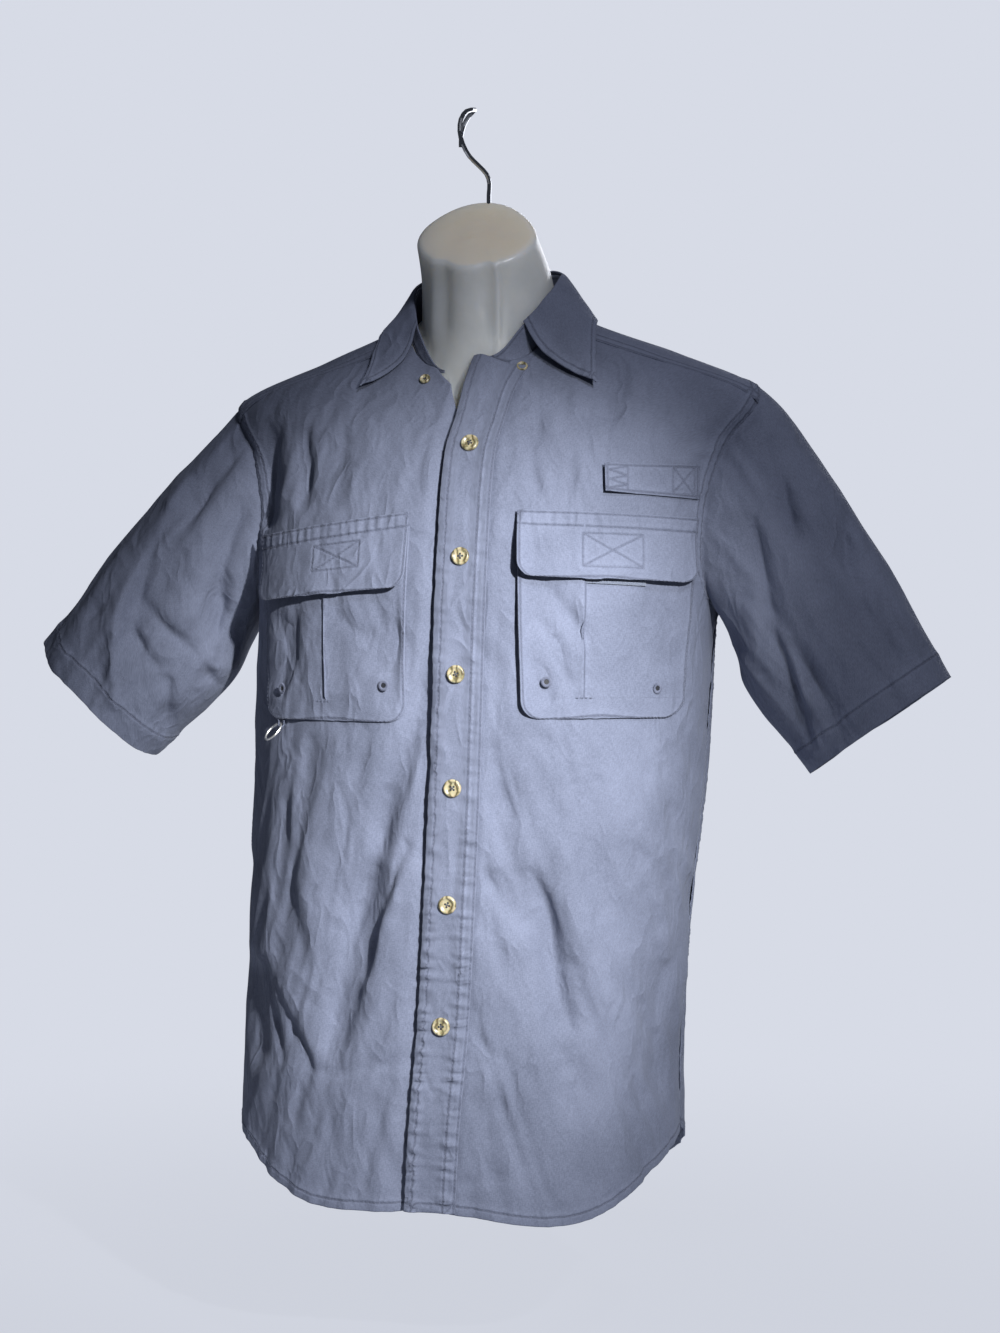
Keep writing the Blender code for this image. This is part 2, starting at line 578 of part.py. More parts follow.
def torso_form(made):
    """Closed form inside the shirt: shoulders and chest of the body's rings, with a neck that leans forward."""
    turns = 36
    levels = [FORM_BOTTOM_Z + i * (-330.0 - FORM_BOTTOM_Z) / 6.0 for i in range(7)]
    levels += [-300.0, -275.0, -258.0, -249.0, -243.0, -236.0, -226.0, -214.0, -202.0, -191.0, -182.0,
               -176.0, -165.0, -145.0, -110.0, -60.0]
    body = bmesh.new()
    rings = []
    for z in levels:
        lifted = min(z + 3.2, -151.0)
        half, middle, ridge, front, back = read_table(RINGS, lifted)
        shrink = mix(3.5, 17.0, ease((-205.0 - z) / 80.0))
        narrow = 0.4 + 24.0 * ease((-236.0 - z) / 40.0)
        centre_y = mix(-36.0, -6.0, ease((-85.0 - z) / 75.0))
        centre_x = mix(4.0, 9.5, ease((-90.0 - z) / 60.0))
        neck = mix(49.0, 55.2, ease((-90.0 - z) / 70.0))
        ring = []
        for i in range(turns):
            angle = 2.0 * math.pi * i / turns
            s, c = math.sin(angle), math.cos(angle)
            depth = (front if c > 0.0 else back) - shrink
            width = half - narrow
            reach = ((abs(s) / width) ** ROUNDNESS + (abs(c) / depth) ** ROUNDNESS) ** (-1.0 / ROUNDNESS)
            shoulder = Vector((middle + reach * s, ridge - reach * c))
            column = Vector((centre_x + neck * s, centre_y - neck * c))
            origin = Vector((8.0, -4.0))
            if z > -176.5:
                flat = column
            else:
                flat = shoulder if (shoulder - origin).length > (column - origin).length else column
            ring.append(body.verts.new(((flat.x + BODY_SHIFT) * MM, flat.y * MM, z * MM)))
        rings.append(ring)
    for low, high in zip(rings, rings[1:]):
        for i in range(turns):
            j = (i + 1) % turns
            body.faces.new((low[i], low[j], high[j], high[i]))
    body.faces.new(rings[0][::-1])
    body.faces.new(rings[-1])
    bmesh.ops.recalc_face_normals(body, faces=body.faces)
    tilt = math.radians(CAP_TILT)
    cut = bmesh.ops.bisect_plane(
        body, geom=list(body.verts) + list(body.edges) + list(body.faces),
        plane_co=Vector((5.0 + BODY_SHIFT, -32.0, -111.0)) * MM,
        plane_no=(0.0, -math.sin(tilt), math.cos(tilt)), clear_outer=True)
    rim = [item for item in cut["geom_cut"] if isinstance(item, bmesh.types.BMEdge)]
    bmesh.ops.contextual_create(body, geom=rim)
    bmesh.ops.bevel(body, geom=rim, offset=3.0 * MM, segments=2, profile=0.5, affect="EDGES", material=-1)
    bmesh.ops.recalc_face_normals(body, faces=body.faces)
    mesh = bpy.data.meshes.new("torso_form")
    body.to_mesh(mesh)
    body.free()
    return finish("torso_form", bpy.data.objects.new("torso_form", mesh), made)


def wire(name, made, points, radius, cyclic=False):
    curve = bpy.data.curves.new(name, "CURVE")
    curve.dimensions = "3D"
    curve.bevel_depth = radius * MM
    curve.bevel_resolution = 2
    curve.use_fill_caps = not cyclic
    line = curve.splines.new("POLY")
    line.points.add(len(points) - 1)
    for spot, point in zip(line.points, points):
        spot.co = ((point.x + BODY_SHIFT) * MM, point.y * MM, point.z * MM, 1.0)
    line.use_cyclic_u = cyclic
    line.use_smooth = True
    made_object = bpy.data.objects.new(name, curve)
    curve.materials.append(made)
    shirt.objects.link(made_object)
    return made_object


def hook(made):
    """Wire hook: its stem stands on the rear of the neck's cap, and its loop reaches forward and back over."""
    skew = math.tan(math.radians(HOOK_TURN))
    rows = [(i / (len(HOOK_ROUTE) - 1.0), x - y * skew, y, z) for i, (x, y, z) in enumerate(HOOK_ROUTE)]
    points = [Vector(read_table(rows, i / 28.0)) for i in range(29)]
    return wire("form_hook", made, points, HOOK_WIRE)


def ring_frame():
    """Seat of the tool ring in its loop, the direction it hangs in, and its tangent at the seat."""
    seat = surface_on_front(*RING_SEAT, RING_LIFT)[0]
    tangent = Vector(RING_TANGENT).normalized()
    hang = Vector(RING_HANG)
    hang = (hang - tangent * hang.dot(tangent)).normalized()
    return seat, hang, tangent


def tool_ring(made):
    seat, hang, tangent = ring_frame()
    middle = seat + hang * RING_RADIUS
    points = []
    for i in range(24):
        angle = 2.0 * math.pi * i / 24.0
        points.append(middle + (tangent * math.sin(angle) - hang * math.cos(angle)) * RING_RADIUS)
    return wire("tool_ring", made, points, RING_WIRE, cyclic=True)


def ring_loop(made):
    """Narrow cloth loop that comes from the pocket's lower edge and runs round the tool ring's wire."""
    seat, hang, tangent = ring_frame()
    upward = (Vector((0.0, 0.0, 1.0)) - tangent * tangent.z).normalized()
    across = tangent.cross(upward)
    leg = 3.1

    def place(u, v):
        if v < 0.2:
            offset = across * LOOP_BEND + upward * leg * (1.0 - v / 0.2)
        elif v > 0.8:
            offset = -across * LOOP_BEND + upward * leg * (v - 0.8) / 0.2
        else:
            angle = math.pi * (v - 0.2) / 0.6
            offset = (across * math.cos(angle) - upward * math.sin(angle)) * LOOP_BEND
        return seat + offset + tangent * LOOP_WIDTH * (u - 0.5)
    return sheet("ring_loop", made, 2, 10, place, wall=0.8, flip=False)


def main():
    global shirt
    clear_scene()
    shirt = bpy.data.collections.new("fishing shirt on torso form")
    bpy.context.scene.collection.children.link(shirt)
    cloth = material("cotton poplin", COLOURS["cloth"], 0.85)
    plastic = material("frosted plastic", COLOURS["form"], 0.35)
    steel = material("chromed wire", COLOURS["steel"], 0.18, 1.0)
    horn = material("horn look resin", COLOURS["horn"], 0.35)
    zinc = material("nickelled ring", COLOURS["zinc"], 0.2, 1.0)
    fastener = material("loop fastener", COLOURS["fastener"], 0.9)

    sheet("front_left", cloth, 12, 32, front_place("left"), flip=False)
    sheet("front_right", cloth, 13, 32, front_place("right"), flip=True)
    sheet("back", cloth, 20, 20, back_place, flip=False)
    sheet("yoke", cloth, 30, 6, yoke_place, flip=True)
    sheet("sleeve_left", cloth, 28, 9, sleeve_place("left"), flip=True, closed=True)
    sheet("sleeve_right", cloth, 28, 9, sleeve_place("right"), flip=False, closed=True)
    sheet("collar_stand", cloth, 28, 2, stand_place, wall=1.4, flip=False)
    sheet("collar", cloth, 26, 6, collar_place, wall=1.4, flip=True)

    def placket_place(u, v):
        z = mix(-889.5, neckline(mix(-3.0, 31.0, u))[1] - 1.2, v)
        x = placket_middle(z) + PLACKET_HALF * (2.0 * u - 1.0)
        return surface_on_front(x, z, 0.5)[0]
    sheet("placket", cloth, 2, 36, placket_place, wall=1.6)

    for side, size in POCKETS.items():
        outer_top, inner_top = size["outer_top"], size["inner_top"]
        low = (size["outer_low"], size["inner_low"])
        start = 0.06

        def lower(a, b, t):
            return mix(a[0], b[0], t), mix(a[1], b[1], t)
        pocket_corners = (lower(outer_top, low[0], start), lower(inner_top, low[1], start), *low)
        patch("pocket_" + side, cloth, pocket_corners, 10, 10, PATCH_LIFT, rounding=(0.0, 15.0), puff=1.8)
        share = size["flap"] / (outer_top[1] - low[0][1])
        flap_corners = (outer_top, inner_top, lower(outer_top, low[0], share), lower(inner_top, low[1], share))
        patch("flap_" + side, cloth, flap_corners, 10, 4, PATCH_LIFT * 1.6 + WALL, rounding=(0.0, 14.0),
              extra=lambda u, v: 3.2 * ease(v * 1.3))

    for index, z in enumerate(BUTTON_HEIGHTS, 1):
        point, normal = surface_on_front(placket_middle(z), z, 0.5 + 0.4)
        button("button_%d" % index, horn, point, normal, BUTTON_RADIUS, BUTTON_THICKNESS)
    for side, (x, z) in COLLAR_BUTTONS.items():
        point, normal = surface_on_front(x, z, 0.5)
        button("collar_button_" + side, horn, point, normal, 4.6, 2.2)
    for index, (x, z) in enumerate(EYELETS, 1):
        point, normal = surface_on_front(x, z, PATCH_LIFT + WALL + 1.0)
        outer, inner = EYELET_RADIUS, EYELET_RADIUS * 0.5
        turned("eyelet_%d" % index, cloth, ((inner, 0.0), (outer, 0.0), (outer - 0.5, 0.9), (inner + 0.3, 0.9)), 14,
               point, normal, closed=True)

    patch("loop_patch_left", fastener, ((146.0, -380.0), (98.0, -379.0), (146.0, -400.0), (98.0, -398.0)),
          4, 2, 4.0, wall=0.8)
    patch("rod_tab", cloth, ((186.0, -303.0), (116.0, -304.0), (185.0, -330.0), (117.0, -326.0)), 8, 3,
          PATCH_LIFT, extra=lambda u, v: 3.0 * ease((u - 0.55) / 0.45))

    torso_form(plastic)
    hook(steel)
    tool_ring(zinc)
    ring_loop(cloth)


main()
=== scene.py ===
import math

import bmesh
import bpy
import numpy as np
from mathutils import Matrix, Vector, noise


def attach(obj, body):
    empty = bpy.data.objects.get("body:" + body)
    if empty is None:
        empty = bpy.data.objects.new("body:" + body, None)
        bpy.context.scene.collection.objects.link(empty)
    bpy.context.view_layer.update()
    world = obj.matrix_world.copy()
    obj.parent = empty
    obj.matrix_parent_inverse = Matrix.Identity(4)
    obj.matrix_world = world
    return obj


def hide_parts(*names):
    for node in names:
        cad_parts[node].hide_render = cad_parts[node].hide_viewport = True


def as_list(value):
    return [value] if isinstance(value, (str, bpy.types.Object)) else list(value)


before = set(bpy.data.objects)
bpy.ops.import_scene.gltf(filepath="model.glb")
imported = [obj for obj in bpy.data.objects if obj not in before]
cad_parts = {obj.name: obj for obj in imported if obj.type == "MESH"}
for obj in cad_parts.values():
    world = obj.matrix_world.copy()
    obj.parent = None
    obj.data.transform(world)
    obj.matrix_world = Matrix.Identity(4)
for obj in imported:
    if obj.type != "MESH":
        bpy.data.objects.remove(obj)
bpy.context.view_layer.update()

mm = 0.001
scene = bpy.context.scene

# The worn body of the shirt. Heights and places are in mm, before the sideways shift to the hook's line.
shirtBody = {
    "shift": 9.0, "roundness": 2.2, "neckMiddle": (3.0, -4.0), "neckClimb": 17.0, "necklineRadius": 67.0,
    "standTopRadius": 61.5, "armholeSwing": 25.0, "yokeFrontTurn": 12.0, "yokeBackZ": -292.0,
    "armholeTop": {"right": -242.0, "left": -234.0}, "armholePit": {"right": -408.0, "left": -416.0},
    # height, half width, middle x, ridge y, depth to the front, depth to the back
    "rings": ((-150, 50, 8, -3, 22, 56), (-174, 68, 10, -2, 31, 66), (-207, 149, 14, 0, 49, 78),
              (-240, 221, 12, 4, 76, 92), (-285, 212, 8, 8, 108, 112), (-335, 203, 4, 10, 126, 122),
              (-412, 193, 0, 10, 138, 128), (-490, 191, -4, 10, 141, 126), (-575, 189, -9, 10, 142, 124),
              (-683, 185, -16, 8, 140, 124), (-783, 183, -20, 6, 139, 126), (-940, 188, -24, 6, 140, 130)),
    # broad folds: side, x and z at both ends, half width, depth (minus is a ridge)
    "folds": (("front", -16, -472, -61, -612, 12, 5), ("front", -61, -612, -100, -769, 17, 7),
              ("front", -36, -600, -70, -730, 11, -5), ("front", -186, -700, -172, -790, 12, 6),
              ("front", -165, -262, -173, -350, 12, 6), ("front", -136, -269, -131, -336, 8, 3),
              ("front", 61, -618, 94, -757, 14, 5), ("front", 36, -560, 62, -672, 9, 4),
              ("front", 84, -590, 120, -745, 13, -5), ("front", 148, -690, 154, -810, 10, 4),
              ("front", 122, -215, 113, -268, 12, 3.5), ("back", -70, -330, -98, -700, 18, 7),
              ("back", 14, -310, 2, -560, 13, 5), ("back", 82, -360, 60, -790, 16, 7),
              ("back", -20, -620, -36, -860, 15, 5), ("back", 140, -520, 132, -820, 13, 5)),
}


def mix(a, b, t):
    return a + (b - a) * t


def ease(t):
    t = np.clip(t, 0.0, 1.0)
    return t * t * (3.0 - 2.0 * t)


def unit(vectors):
    return vectors / np.maximum(np.linalg.norm(vectors, axis=-1, keepdims=True), 1e-9)


def stack(*parts):
    return np.stack(np.broadcast_arrays(*parts), -1).astype(float)


def readTable(rows, key):  # smooth curves through the rows, read at many keys at once
    rows = np.array(sorted(rows), dtype=float)
    at, values = rows[:, 0], rows[:, 1:]
    before, after = np.maximum(np.arange(len(at)) - 1, 0), np.minimum(np.arange(len(at)) + 1, len(at) - 1)
    slope = (values[after] - values[before]) / (at[after] - at[before])[:, None]
    key = np.clip(np.asarray(key, dtype=float), at[0], at[-1])
    place = np.clip(np.searchsorted(at, key, side="right") - 1, 0, len(at) - 2)
    span = (at[place + 1] - at[place])[..., None]
    t = (key - at[place])[..., None] / span
    h = t * t * (3.0 - 2.0 * t)
    return (values[place] * (1.0 - h) + values[place + 1] * h
            + span * (slope[place] * t * (1.0 - t) ** 2 - slope[place + 1] * t * t * (1.0 - t)))


def broadFolds(side, x, z):
    total = np.zeros(np.broadcast(x, z).shape)
    for where, x1, z1, x2, z2, width, depth in shirtBody["folds"]:
        if where != side:
            continue
        runX, runZ = x2 - x1, z2 - z1
        along = ((x - x1) * runX + (z - z1) * runZ) / (runX ** 2 + runZ ** 2)
        held = np.clip(along, 0.0, 1.0)
        away = np.hypot(x - x1 - runX * held, z - z1 - runZ * held) / width
        total = total + depth * ease(along / 0.3 + 0.35) * ease((1.0 - along) / 0.3 + 0.35) * np.exp(-away ** 2)
    return total


def bodyPoint(turn, z, lift=0.0):  # turn in degrees from the middle front towards the wearer's left
    half, middle, ridge, front, back = np.moveaxis(readTable(shirtBody["rings"], z), -1, 0)
    power = 2.0 / shirtBody["roundness"]
    s, c = np.sin(np.radians(turn)), np.cos(np.radians(turn))
    depth = np.where(c > 0.0, front, back)
    x = middle + half * np.sign(s) * np.abs(s) ** power
    y = ridge - depth * np.sign(c) * np.abs(c) ** power
    fold = np.where(c > 0.0, broadFolds("front", x, z), broadFolds("back", x, z))
    fold = fold * ease((-206.0 - z) / 30.0) * np.minimum(1.0, np.abs(c) * 4.0)
    outward = unit(stack((x - middle) / half ** 2, (y - ridge) / depth ** 2, 0.0))
    return stack(x, y, z + neckClimb(x, y)) + outward * (lift - fold)[..., None]


def neckClimb(x, y):  # below the throat the cloth stands up along the neck
    across, ahead = x - shirtBody["neckMiddle"][0], shirtBody["neckMiddle"][1] - y
    away, angle = np.hypot(across, ahead), np.degrees(np.arctan2(across, ahead))
    near = 1.0 - ease((away - shirtBody["necklineRadius"] + 7.0) / 30.0)
    return shirtBody["neckClimb"] * np.exp(-((angle - 6.0) / 24.0) ** 2) * near ** 1.5


def turnAt(x, z):
    half, middle = np.moveaxis(readTable(shirtBody["rings"], z), -1, 0)[:2]
    part = np.clip((x - middle) / half, -1.0, 1.0)
    return np.degrees(np.arcsin(np.sign(part) * np.abs(part) ** (shirtBody["roundness"] / 2.0)))


def heightAt(x, y):  # height of the shoulders over a place in plan
    low, high = np.full(np.shape(x), -300.0), np.full(np.shape(x), -151.0)
    for _ in range(40):
        z = (low + high) / 2.0
        half, middle, ridge, front, back = np.moveaxis(readTable(shirtBody["rings"], z), -1, 0)
        depth = np.where(y < ridge, front, back)
        power = shirtBody["roundness"]
        outside = np.abs((x - middle) / half) ** power + np.abs((y - ridge) / depth) ** power > 1.0
        high, low = np.where(outside, z, high), np.where(outside, low, z)
    return low


def surfaceOnFront(x, z, lift=0.0):
    x, z = np.broadcast_arrays(np.asarray(x, dtype=float), np.asarray(z, dtype=float))
    turn = turnAt(x, z)
    across = bodyPoint(turn + 0.7, z) - bodyPoint(turn - 0.7, z)
    down = bodyPoint(turn, z - 1.5) - bodyPoint(turn, z + 1.5)
    normal = unit(np.cross(down, across))
    normal = np.where(normal[..., 1:2] > 0.0, -normal, normal)
    return bodyPoint(turn, z) + normal * np.broadcast_to(lift, x.shape)[..., None], normal


def seamRadius(turn):  # the neck seam draws in and climbs towards the front
    signed = (np.asarray(turn, dtype=float) + 180.0) % 360.0 - 180.0
    return shirtBody["necklineRadius"] - 7.5 * np.exp(-(signed / 40.0) ** 2)


def neckline(turn):  # turn and height on the body, at a turn round the neck
    angle = np.radians(turn)
    x = shirtBody["neckMiddle"][0] + seamRadius(turn) * np.sin(angle)
    y = shirtBody["neckMiddle"][1] - seamRadius(turn) * np.cos(angle)
    z = heightAt(x, y)
    half, middle, ridge, front, back = np.moveaxis(readTable(shirtBody["rings"], z), -1, 0)
    power = shirtBody["roundness"] / 2.0
    s = np.sign(x - middle) * np.abs((x - middle) / half) ** power
    c = np.sign(ridge - y) * np.abs((y - ridge) / np.where(y < ridge, front, back)) ** power
    return np.degrees(np.arctan2(s, c)), z


def armhole(side, part, back, spread=1.0):  # part runs from 0 at the shoulder to 1 at the armpit
    top, pit = shirtBody["armholeTop"][side], shirtBody["armholePit"][side]
    angle = np.pi * np.asarray(part, dtype=float)
    middle = (top + pit) / 2.0
    z = middle + (top - middle) * np.cos(angle) * mix(1.0, spread, 0.6)
    swing = np.where(back, 1.0, -1.0) * shirtBody["armholeSwing"] * spread
    turn = 90.0 + swing * np.abs(np.sin(angle)) ** 0.8
    return (turn if side == "left" else -turn), z


def pathPoint(points, t):
    points = np.array(points, dtype=float)
    steps = np.hypot((points[1:, 0] - points[:-1, 0]) * 2.2, points[1:, 1] - points[:-1, 1])
    lengths = np.concatenate([[0.0], np.cumsum(steps)])
    wanted = t * lengths[-1]
    return np.interp(wanted, lengths, points[:, 0]), np.interp(wanted, lengths, points[:, 1])


def hexColour(text):
    parts = [int(text[i:i + 2], 16) / 255.0 for i in (1, 3, 5)]
    return [p / 12.92 if p <= 0.04045 else ((p + 0.055) / 1.055) ** 2.4 for p in parts] + [1.0]


def plug(tree, node, inputs):  # an input is given a value, a socket, or a node whose first output is meant
    for key, value in inputs.items():
        value = value.outputs[0] if isinstance(value, bpy.types.Node) else value
        if isinstance(value, bpy.types.NodeSocket):
            tree.links.new(value, node.inputs[key])
        else:
            node.inputs[key].default_value = value
    return node


def addNode(tree, kind, inputs=None, **settings):
    node = tree.nodes.new("ShaderNode" + kind)
    for key, value in settings.items():
        setattr(node, key, value)
    return plug(tree, node, inputs or {})


def newMaterial(name, sockets):
    made = bpy.data.materials.new(name)
    made.use_nodes = True
    tree = made.node_tree
    place = addNode(tree, "TexCoord").outputs["Object"]
    return made, tree, plug(tree, tree.nodes["Principled BSDF"], sockets), place


def setStops(ramp, stops):  # place along the ramp and colour; the first two are there already
    ramp = ramp.color_ramp.elements
    for k, (at, colour) in enumerate(stops):
        stop = ramp[k] if k < 2 else ramp.new(at)
        stop.position, stop.color = at, hexColour(colour)


clothLook = {
    # shade and faded are tones mixed at random, worn lightens the rubbed seams; the darkest colour is painted shade
    # in the stitched grooves
    "shade": "#555b6d", "faded": "#7a8197", "worn": "#9098b1", "groove": "#3d4254",
    # mm: thread pitches, heights of weave, slubs and small creases, width and depth of stitched grooves and puckers
    "warpPitch": 1.25, "weftPitch": 1.55, "weaveDepth": 0.06, "slubDepth": 0.11, "creaseDepth": 6.5,
    "grooveWidth": 1.0, "grooveDepth": 0.6, "puckerWidth": 4.5, "puckerDepth": 1.1,
}


def cottonPoplin(name):
    # Mercerised cotton poplin, washed: a fine matt weave with a faint sheen, faded a little along its seams, and with
    # painted shade darkening its stitched grooves.
    # The real thread pitch of about 0.3 mm is drawn four times coarser, so that it shows at all.
    look = clothLook
    made, tree, shader, place = newMaterial(name, {
        "Roughness": 0.86, "Sheen Weight": 0.1, "Sheen Roughness": 0.5, "Specular IOR Level": 0.28, "IOR": 1.5,
        "Sheen Tint": hexColour("#bcc3d2")})
    weave = addNode(tree, "UVMap", uv_map="weave")
    split, waves, slubs, bands = addNode(tree, "SeparateXYZ", {0: weave}), [], [], []
    for axis, pitch in enumerate((look["warpPitch"], look["weftPitch"])):
        turns = addNode(tree, "Math", {0: split.outputs[axis], 1: 2.0 * math.pi / (pitch * mm)}, operation="MULTIPLY")
        waves.append(addNode(tree, "Math", {0: turns}, operation="SINE"))
    crossing = addNode(tree, "Math", dict(enumerate(waves)), operation="MULTIPLY")
    for stretch in ((380.0, 1500.0, 1.0), (1500.0, 320.0, 1.0)):  # slubs about 3 mm long both ways
        lie = addNode(tree, "Mapping", {"Vector": weave, "Scale": stretch})
        slubs.append(addNode(tree, "TexNoise", {"Vector": lie, "Scale": 1.0, "Detail": 2.0}))
    slub = addNode(tree, "Math", dict(enumerate(slubs)), operation="ADD")
    rows = [addNode(tree, "Attribute", attribute_name=row).outputs["Fac"] for row in ("rowA", "rowB")]
    away = [addNode(tree, "Math", {0: row}, operation="ABSOLUTE") for row in rows]
    near = addNode(tree, "Math", dict(enumerate(away)), operation="MINIMUM")
    for width in (look["grooveWidth"], look["puckerWidth"]):
        part = addNode(tree, "Math", {0: near, 1: 1.0 / width}, operation="MULTIPLY")
        square = addNode(tree, "Math", {0: part, 1: part}, operation="MULTIPLY")
        minus = addNode(tree, "Math", {0: square, 1: -1.0}, operation="MULTIPLY")
        bands.append(addNode(tree, "Math", {0: minus}, operation="EXPONENT"))
    pucker = addNode(tree, "TexNoise", {"Vector": place, "Scale": 210.0, "Detail": 2.0, "Roughness": 0.55})
    puckered = addNode(tree, "Math", {0: pucker, 1: bands[1]}, operation="MULTIPLY")
    lie = addNode(tree, "Mapping", {"Vector": place, "Scale": (44.0, 44.0, 24.0)})  # creases about 23 by 42 mm apart
    soft = addNode(tree, "TexNoise", {"Vector": lie, "Scale": 1.0, "Detail": 2.0, "Roughness": 0.45,
                                      "Distortion": 0.4})
    low = addNode(tree, "Math", {0: soft, 1: 0.5}, operation="SUBTRACT")
    creased = addNode(tree, "Math", {0: low}, operation="ABSOLUTE")
    height = addNode(tree, "Math", {0: crossing, 1: look["weaveDepth"]}, operation="MULTIPLY")
    for value, depth in ((slub, look["slubDepth"]), (creased, -look["creaseDepth"]), (puckered, look["puckerDepth"]),
                         (bands[0], -look["grooveDepth"])):
        height = addNode(tree, "Math", {0: value, 1: depth, 2: height}, operation="MULTIPLY_ADD")
    bump = addNode(tree, "Bump", {"Height": height, "Strength": 0.85, "Distance": mm})
    fade = addNode(tree, "TexNoise", {"Vector": place, "Scale": 9.0, "Detail": 5.0, "Roughness": 0.6})
    grain = addNode(tree, "MapRange", {0: slub, 1: 0.78, 2: 1.22})
    blend = addNode(tree, "Math", {0: grain, 1: 0.3, 2: fade}, operation="MULTIPLY_ADD")
    shades = addNode(tree, "MapRange", {0: blend, 1: 0.3, 2: 1.05})
    # painted shade: the stitched grooves are darkened in colour as well as sunk
    rubbed, shadedGrooves = [addNode(tree, "Math", {0: value, 1: share}, operation="MULTIPLY")
                       for value, share in ((puckered, 0.22), (bands[0], 0.5))]
    colour = hexColour(look["shade"])
    for share, key in ((shades, "faded"), (rubbed, "worn"), (shadedGrooves, "groove")):
        colour = addNode(tree, "Mix", {0: share, 6: colour, 7: hexColour(look[key])}, data_type="RGBA").outputs[2]
    plug(tree, shader, {"Base Color": colour, "Normal": bump})
    return made


def spreadOut(count, length, close=(0.9, 2.2, 4.2, 7.0, 10.0)):  # grid lines, closer together at both edges
    near = [c / length for c in close]
    middle = np.linspace(near[-1], 1.0 - near[-1], count - 2 * len(near) + 1)
    return np.concatenate([[0.0], near[:-1], middle, [1.0 - n for n in reversed(near[:-1])], [1.0]])


def smoothLine(points, count=20):
    points = np.array(points, dtype=float)
    steps = np.concatenate([[0.0], np.cumsum(np.hypot(*(points[1:] - points[:-1]).T))])
    rows = [(s, *p) for s, p in zip(steps, points)]
    return readTable(rows, np.linspace(0.0, steps[-1], count))


creaseShape = {
    "leftSpread": 1.6, "rightSpread": 0.66, "leftSteep": 0.9, "rightSteep": 0.6,  # on the reach, and on the depth
    "taper": 0.55, "waver": 0.22, "crest": 2.0,
}


def creaseDepth(x, z, creases, gain=1.9):
    # A crease is its reach to the viewer's left and right, its depth (minus is a ridge), and x and z from point to
    # point. It is crisp on its right side and soft on its left, and its reach grows with its depth.
    total, look = np.zeros(x.shape), creaseShape
    for left, right, depth, *line in creases:
        line, steep = smoothLine(np.reshape(line, (-1, 2))), abs(gain * depth)
        left = max(left * look["leftSpread"], steep * look["leftSteep"])
        right = max(right * look["rightSpread"], steep * look["rightSteep"])
        reach = 3.0 * max(left, right)
        low, high = line.min(0) - reach, line.max(0) + reach
        inside = (x > low[0]) & (x < high[0]) & (z > low[1]) & (z < high[1])
        if not inside.any():
            continue
        px, pz = x[inside], z[inside]
        best, signed, share = np.full(px.shape, 1e9), np.zeros(px.shape), np.zeros(px.shape)
        for k in range(len(line) - 1):
            (ax, az), (bx, bz) = line[k], line[k + 1]
            runX, runZ = bx - ax, bz - az
            t = np.clip(((px - ax) * runX + (pz - az) * runZ) / (runX ** 2 + runZ ** 2), 0.0, 1.0)
            dx, dz = px - ax - runX * t, pz - az - runZ * t
            away = np.hypot(dx, dz)
            near = away < best
            best = np.where(near, away, best)
            facing = np.sign(-runZ if abs(runZ) > 1e-6 else 1.0)
            signed = np.where(near, np.sign(dx * -runZ + dz * runX) * facing, signed)
            share = np.where(near, (k + t) / (len(line) - 1), share)
        taper = np.sin(np.pi * np.clip(share, 0.0, 1.0)) ** look["taper"]
        taper = taper * (1.0 + look["waver"] * np.sin(9.0 * share + line[0][0]))
        width = np.where(signed > 0.0, right, left) * (0.7 + 0.4 * share)
        total[inside] += gain * depth * taper * np.exp((look["crest"] - np.hypot(best, look["crest"])) / width)
    return total * mix(0.5, 1.0, ease((-245.0 - z) / 70.0))


def wobble(s, seed):  # uneven waves about 15 to 40 mm long, for puckers along an edge
    total = 0.0
    for k, length in enumerate((39.0, 23.0, 15.5, 11.0)):
        total = total + np.sin(2.0 * np.pi * s / length + seed * 2.3 + k * 1.9 + 0.7 * np.sin(s / 61.0 + seed))
    return total / 4.0


